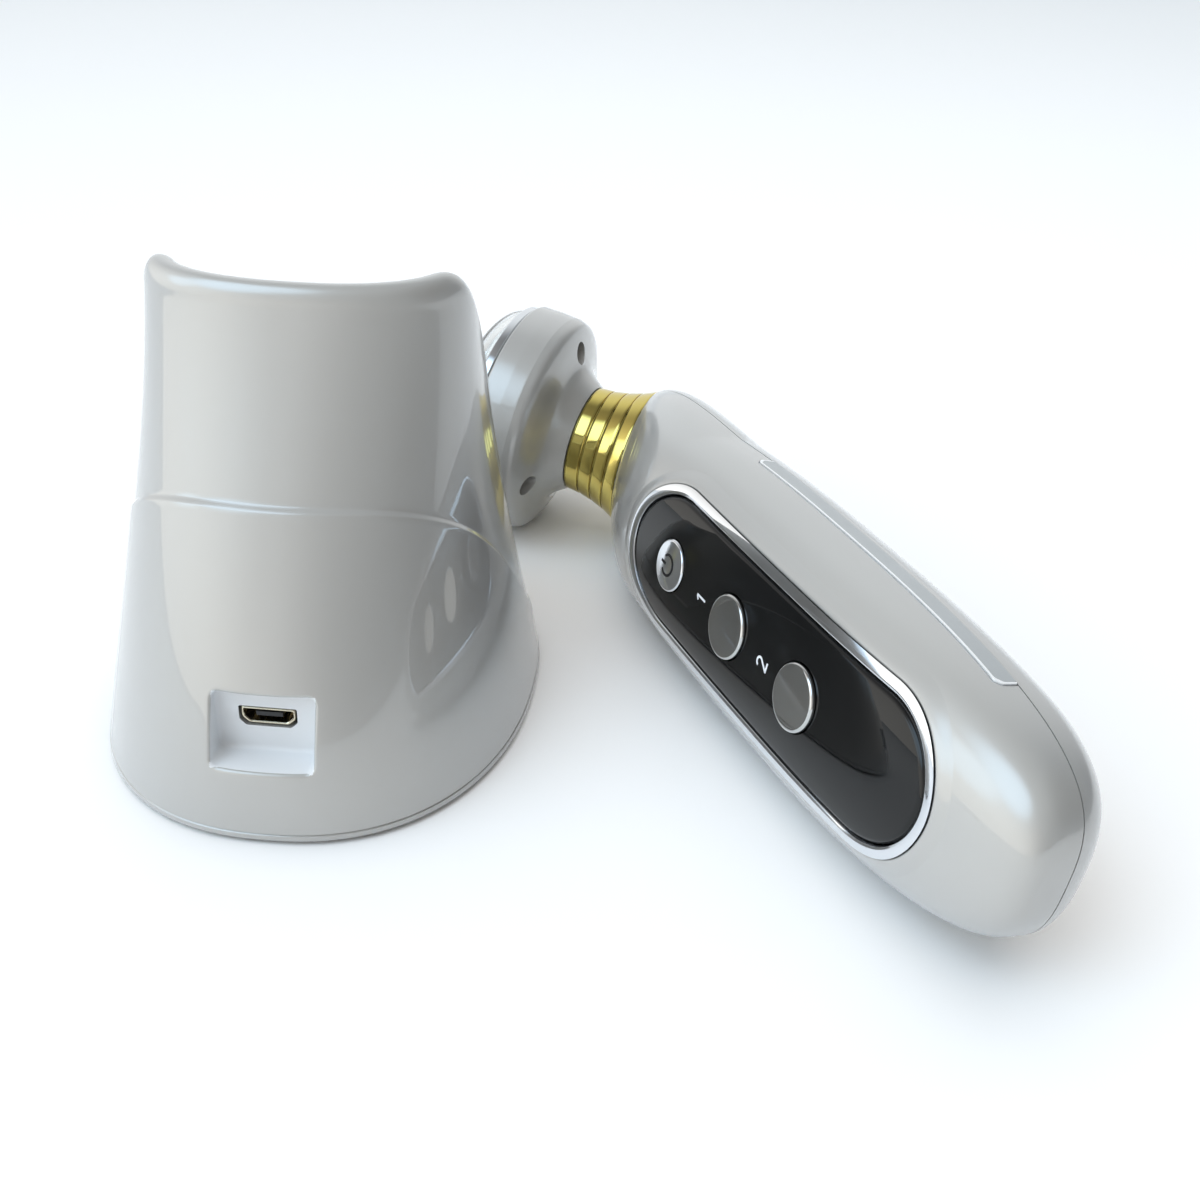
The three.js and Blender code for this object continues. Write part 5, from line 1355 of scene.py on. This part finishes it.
def lamps():
    """A round lamp in a white square frame, in the board's middle and at each place round it."""
    outline = rounded_rectangle(LAMP_HALF_WIDTH, -LAMP_HALF_WIDTH, LAMP_HALF_WIDTH, LAMP_CORNER, 5)
    housing = prism(outline, LED_BOARD_TOP - LAMP_SINK, LED_BOARD_TOP + LAMP_HEIGHT)
    low, edge = LED_BOARD_TOP + DOME_LOW, LED_BOARD_TOP + DOME_EDGE
    dome = turned([(0, low), (DOME_SIZE[0], low), *arc((0, edge), DOME_SIZE, 0, 90, 7)[:-1],
                   (0, edge + DOME_SIZE[1])], 24)
    places = [(0, 0)] + [(LAMP_CIRCLE, k * TAU / LAMP_COUNT) for k in range(LAMP_COUNT)]
    return [shaped(name, gathered([on_circle(solid, *place) for place in places]))
            for name, solid in (("lamp_frames", housing), ("lamp_domes", dome))]


# Finishes
class Finish:
    """A material with a Principled shader and helpers to wire what varies over the surface."""

    def __init__(self, name, **settings):
        self.material = bpy.data.materials.new(name)
        self.material.use_nodes = True
        self.nodes = self.material.node_tree.nodes
        self.links = self.material.node_tree.links
        self.shader = self.nodes["Principled BSDF"]
        for socket, value in settings.items():
            self.shader.inputs[socket.replace("_", " ")].default_value = value

    def noise(self, per_metre, detail=2.0, stretch=None):
        """Noise in the piece's own space, so that it rides with the piece."""
        source = self.nodes.new("ShaderNodeTexCoord").outputs["Object"]
        if stretch:
            scaled = self.nodes.new("ShaderNodeMapping")
            scaled.inputs["Scale"].default_value = stretch
            self.links.new(source, scaled.inputs["Vector"])
            source = scaled.outputs["Vector"]
        texture = self.nodes.new("ShaderNodeTexNoise")
        texture.inputs["Scale"].default_value = per_metre
        texture.inputs["Detail"].default_value = detail
        self.links.new(source, texture.inputs["Vector"])
        return texture.outputs["Fac"]

    def colored(self, share, first, second):
        mix = self.nodes.new("ShaderNodeMix")
        mix.data_type = "RGBA"
        mix.inputs["A"].default_value = (*first, 1)
        mix.inputs["B"].default_value = (*second, 1)
        self.links.new(share, mix.inputs["Factor"])
        self.links.new(mix.outputs["Result"], self.shader.inputs["Base Color"])

    def roughened(self, share, low, high):
        scale = self.nodes.new("ShaderNodeMapRange")
        for socket, number in zip(("From Min", "From Max", "To Min", "To Max"), (0.3, 0.7, low, high)):
            scale.inputs[socket].default_value = number
        self.links.new(share, scale.inputs["Value"])
        self.links.new(scale.outputs["Result"], self.shader.inputs["Roughness"])

    def grained(self, height, strength, distance):
        bump = self.nodes.new("ShaderNodeBump")
        bump.inputs["Strength"].default_value = strength
        bump.inputs["Distance"].default_value = distance
        self.links.new(height, bump.inputs["Height"])
        self.links.new(bump.outputs["Normal"], self.shader.inputs["Normal"])


def pearl_finish(name, warm, cool):
    """Pearl lacquer: fine flakes under a clear coat, warmer face on and cooler at a glance."""
    made = Finish(name, Metallic=0.25, Coat_Weight=1.0, Coat_Roughness=0.025, Coat_IOR=1.7)
    flakes = made.noise(7000, 1.5)
    facing = made.nodes.new("ShaderNodeLayerWeight")
    facing.inputs["Blend"].default_value = 0.35
    made.colored(facing.outputs["Facing"], warm, cool)
    made.roughened(flakes, 0.3, 0.4)
    made.grained(flakes, 0.1, GRAIN)
    return made.material


def plain_finish(name, color, roughness, metallic=0.0, grain=2500, depth=GRAIN, strength=0.15,
                 shade_by=0.06, specular=0.5):
    """A moulded or drawn surface with a little variation in colour and gloss, and a fine grain."""
    made = Finish(name, Metallic=metallic, Specular_IOR_Level=specular)
    fine = made.noise(grain, 3.0)
    light = tuple(min(channel * (1 + shade_by), 1) for channel in color)
    dark = tuple(channel * (1 - shade_by) for channel in color)
    made.colored(made.noise(grain / 40, 2.0), dark, light)
    made.roughened(fine, roughness * 0.85, roughness * 1.15)
    made.grained(fine, strength, depth)
    return made.material


def brushed_finish(name, color, roughness):
    """Metal brushed along one direction."""
    made = Finish(name, Metallic=1.0)
    fine = made.noise(6000, 3.0, (1, 1, 0.02))
    made.colored(fine, tuple(channel * 0.92 for channel in color), color)
    made.roughened(fine, roughness * 0.8, roughness * 1.2)
    made.grained(fine, 0.12, GRAIN)
    return made.material


def clear_finish(name):
    made = Finish(
        name, Base_Color=(0.93, 0.96, 0.97, 1), IOR=1.49, Transmission_Weight=1.0, Coat_Weight=0.3)
    made.roughened(made.noise(1500, 2.0), 0.015, 0.05)
    return made.material


def finishes():
    made = {
        "pearl": pearl_finish("pearl", (0.44, 0.432, 0.412), (0.37, 0.385, 0.40)),
        "steel": brushed_finish("steel", (0.50, 0.50, 0.51), 0.35),
        "clear": clear_finish("clear"),
    }
    plain = {
        "pale_plastic": {"color": (0.70, 0.72, 0.74), "roughness": 0.42},
        "black_gloss": {"color": (0.004, 0.0045, 0.005), "roughness": 0.03, "depth": POLISH,
                        "strength": 0.03, "specular": 0.4},
        "black_rubber": {"color": (0.028, 0.028, 0.03), "roughness": 0.75, "grain": 5000,
                         "strength": 0.4},
        "black_plastic": {"color": (0.02, 0.02, 0.022), "roughness": 0.4},
        "chrome": {"color": (0.74, 0.77, 0.81), "roughness": 0.06, "metallic": 1.0, "depth": POLISH,
                   "strength": 0.04, "shade_by": 0.02},
        "gold": {"color": (0.66, 0.54, 0.155), "roughness": 0.08, "metallic": 1.0, "depth": POLISH,
                 "strength": 0.05, "shade_by": 0.03},
        "satin_metal": {"color": (0.50, 0.53, 0.55), "roughness": 0.38, "metallic": 0.8, "grain": 7000,
                        "strength": 0.1},
        # Chrome strip edge painted near white and rough: a painted highlight that stays bright whatever it
        # reflects
        "bright_edge": {"color": (0.93, 0.95, 0.97), "roughness": 0.36, "metallic": 0.6, "strength": 0.02,
                        "shade_by": 0.01},
        "nickel": {"color": (0.66, 0.60, 0.46), "roughness": 0.22, "metallic": 1.0, "depth": 0.5 * GRAIN,
                   "strength": 0.1},
        "board": {"color": (0.03, 0.16, 0.08), "roughness": 0.45},
        "battery_wrap": {"color": (0.08, 0.22, 0.42), "roughness": 0.3},
        "lamp": {"color": (0.85, 0.80, 0.55), "roughness": 0.25},
        "white_plastic": {"color": (0.8, 0.8, 0.78), "roughness": 0.45},
        "print_white": {"color": (0.80, 0.83, 0.87), "roughness": 0.4, "strength": 0.02},
        "mirror": {"color": (0.56, 0.57, 0.57), "roughness": 0.045, "metallic": 1.0, "depth": POLISH,
                   "strength": 0.03, "shade_by": 0.01},
        "dark_print": {"color": (0.012, 0.012, 0.014), "roughness": 0.5, "specular": 0.2},
    }
    return made | {name: plain_finish(name, **settings) for name, settings in plain.items()}


# Light, floor and camera
def studio():
    """A room, bright low on the left and dark on the right, with two soft windows and a light overhead."""
    world = bpy.data.worlds.new("studio")
    bpy.context.scene.world = world
    world.use_nodes = True
    nodes, links = world.node_tree.nodes, world.node_tree.links
    backdrop = nodes["Background"]
    place = nodes.new("ShaderNodeTexCoord")

    def share_toward(direction, start, end):
        """How far a direction of view lies towards another one, from 0 to 1."""
        toward = nodes.new("ShaderNodeVectorMath")
        toward.operation = "DOT_PRODUCT"
        toward.inputs[1].default_value = direction
        links.new(place.outputs["Generated"], toward.inputs[0])
        lift = nodes.new("ShaderNodeMapRange")
        lift.interpolation_type = "SMOOTHSTEP" if start > 0 else "LINEAR"
        lift.inputs["From Min"].default_value = start
        lift.inputs["From Max"].default_value = end
        links.new(toward.outputs["Value"], lift.inputs["Value"])
        return lift.outputs["Result"]

    ramp = nodes.new("ShaderNodeValToRGB")
    ramp.color_ramp.interpolation = "B_SPLINE"
    stops = ramp.color_ramp.elements
    stops[0].color, stops[1].color = ROOM_DARKEST, ROOM_BRIGHTEST
    for share, color in ROOM_BETWEEN.items():
        stops.new(share).color = color
    links.new(share_toward(ROOM_BRIGHT_SIDE, -ROOM_SPREAD, ROOM_SPREAD), ramp.inputs["Fac"])
    seen = ramp.outputs["Color"]
    for direction, color, start, end in ROOM_SPOTS.values():
        spot = nodes.new("ShaderNodeMix")
        spot.data_type = "RGBA"
        spot.inputs["B"].default_value = (*color, 1)
        links.new(seen, spot.inputs["A"])
        links.new(share_toward(direction, start, end), spot.inputs["Factor"])
        seen = spot.outputs["Result"]
    links.new(seen, backdrop.inputs["Color"])
    backdrop.inputs["Strength"].default_value = ROOM_STRENGTH

    light = bpy.data.lights.new("overhead", "AREA")
    light.size = OVERHEAD_SIZE * MM
    light.energy = OVERHEAD_POWER
    light.color = OVERHEAD_COLOR
    overhead = bpy.data.objects.new("overhead", light)
    bpy.context.scene.collection.objects.link(overhead)
    overhead.location = Vector(OVERHEAD_PLACE) * MM
    overhead.visible_glossy = False


def floor():
    low = (-FLOOR_HALF, -FLOOR_HALF, -FLOOR_THICKNESS)
    piece = new_object("floor", *box(low, (FLOOR_HALF, FLOOR_HALF, 0)))
    piece.data.transform(Matrix.Scale(MM, 4))
    piece.data.materials.append(plain_finish(
        "floor", (0.95, 0.95, 0.95), 0.6, grain=200, strength=0.0, shade_by=0.005))


def camera():
    heading, pitch, roll = (math.radians(angle) for angle in (CAMERA_HEADING, CAMERA_PITCH, CAMERA_ROLL))
    level = Vector((math.sin(heading), math.cos(heading), 0))
    ahead = level * math.cos(pitch) - Vector((0, 0, 1)) * math.sin(pitch)
    right = Vector((math.cos(heading), -math.sin(heading), 0))
    up = right.cross(ahead)
    turned_right = right * math.cos(roll) + up * math.sin(roll)
    turned_up = up * math.cos(roll) - right * math.sin(roll)
    data = bpy.data.cameras.new("camera")
    data.lens, data.sensor_width = CAMERA_LENS, CAMERA_SENSOR
    data.clip_start, data.clip_end = CAMERA_CLIP
    thing = bpy.data.objects.new("camera", data)
    bpy.context.scene.collection.objects.link(thing)
    basis = Matrix((turned_right, turned_up, -ahead)).transposed().to_4x4()
    thing.matrix_world = Matrix.Translation(Vector(CAMERA_PLACE) * MM) @ basis
    bpy.context.scene.camera = thing


# Pieces
def handpiece_frame():
    """The handpiece's own axes and origin in the part's frame, from its joints."""
    joints = {joint["name"]: joint for joint in frame["joints"]}
    along = np.array(joints["weight_spin"]["axis"])
    out = -np.array(joints["power_press"]["axis"])
    matrix = np.eye(4)
    matrix[:3, 0], matrix[:3, 1], matrix[:3, 2] = np.cross(out, along), out, along
    centre = np.array(joints["weight_spin"]["pos_m"]) / MM
    matrix[:3, 3] = centre - matrix[:3, :3] @ WEIGHT_PLACE
    return matrix


def stand_pieces(finish):
    shell = stand_shell()
    inside = recess_faces(shell.data)
    for piece in (shell, base_cover(), base_mat(), stand_liner(), usb_shell(), usb_tongue()):
        dressed(piece, finish)
    shell.data.materials.append(finish["pale_plastic"])
    for index in inside:
        shell.data.polygons[index].material_index = 1
    dressed(usb_contacts(), finish, body="stand", slot="gold")
    for side, name in SIDES:
        for kind, solid in (("barrel", pogo_barrel()), ("plunger", pogo_plunger())):
            dressed(shaped(f"fine_pogo_{kind}_{name}", moved(solid, contact_place(side))), finish)
    for index, (x, y) in enumerate(COVER_SCREW_PLACES, 1):
        spot = (x, y, MAT_PROUD + GAP / 2)
        dressed(cross_screw(f"fine_cover_screw_{index}", spot, **COVER_SCREW), finish)


def handpiece_pieces(finish):
    on_body = handpiece_frame()
    on_head = on_body @ on_head_axis

    def add(piece, slot=None, material=None, body="handpiece", place=on_body):
        dressed(piece, finish, place, body, slot, material)

    for piece in (front_shell(), rear_shell(), panel_bezel()):
        add(piece)
    add(panel_lip(), "pearl")
    lens, lens_skin = panel_lens()
    add(lens)
    add(lens_edge(lens_skin), "black_gloss")
    numerals = (("numeral_one", numeral_one(), NUMERAL_ONE_Z), ("numeral_two", numeral_two(), NUMERAL_TWO_Z))
    for name, paths, z in numerals:
        numeral = mark(name, paths, NUMERAL_SIZE, NUMERAL_STROKE, z, lens_skin.front)
        add(numeral, "pale_plastic", "print_white")
    for name, sizes in BUTTONS.items():
        button = Button(*sizes)
        power = name == "power_button"
        add(shaped(FINE + name, button.solid()), material=None if power else "mirror")
        if power:
            sign = mark("power_sign", power_sign(), SIGN_SIZE, SIGN_STROKE, button.z, button.seat)
            add(sign, "black_plastic", "dark_print", BODY_OF[name])
    for plate, edge in side_strips():
        add(plate)
        # The chrome edge gets the near-white finish, a painted highlight in place of its glint
        add(edge, "chrome", "bright_edge")
    for side, name in SIDES:
        add(tail_contact(side, name))
    for piece in (neck_sleeve(), head_housing(), head_ring(), head_lens(), led_board()):
        add(piece, place=on_head)
    frames, domes = lamps()
    add(frames, "pale_plastic", "white_plastic", place=on_head)
    add(domes, "clear", "lamp", place=on_head)
    for index, angle in enumerate(ELECTRODE_ANGLES, 1):
        solid = on_circle(head_electrode(), ELECTRODE_CIRCLE, angle)
        add(shaped(f"fine_head_electrode_{index}", solid), place=on_head)
    low = HEAD_RECESS_FLOOR - HEAD_SCREW["thickness"] - GAP / 2
    for index, angle in enumerate(SCREW_ANGLES, 1):
        spot = (HEAD_SCREW_CIRCLE * math.cos(angle), HEAD_SCREW_CIRCLE * math.sin(angle), low)
        add(cross_screw(f"fine_head_screw_{index}", spot, **HEAD_SCREW), place=on_head)


def carried_over(finish):
    """The inner nodes keep their CAD shape and get a procedural finish."""
    for name, node in frame["nodes"].items():
        node.data.materials.clear()
        node.data.materials.append(finish[SLOT_OF[name]])


camera()
finish = finishes()
carried_over(finish)
stand_pieces(finish)
handpiece_pieces(finish)
floor()
studio()
bpy.context.scene.view_settings.view_transform = "Standard"
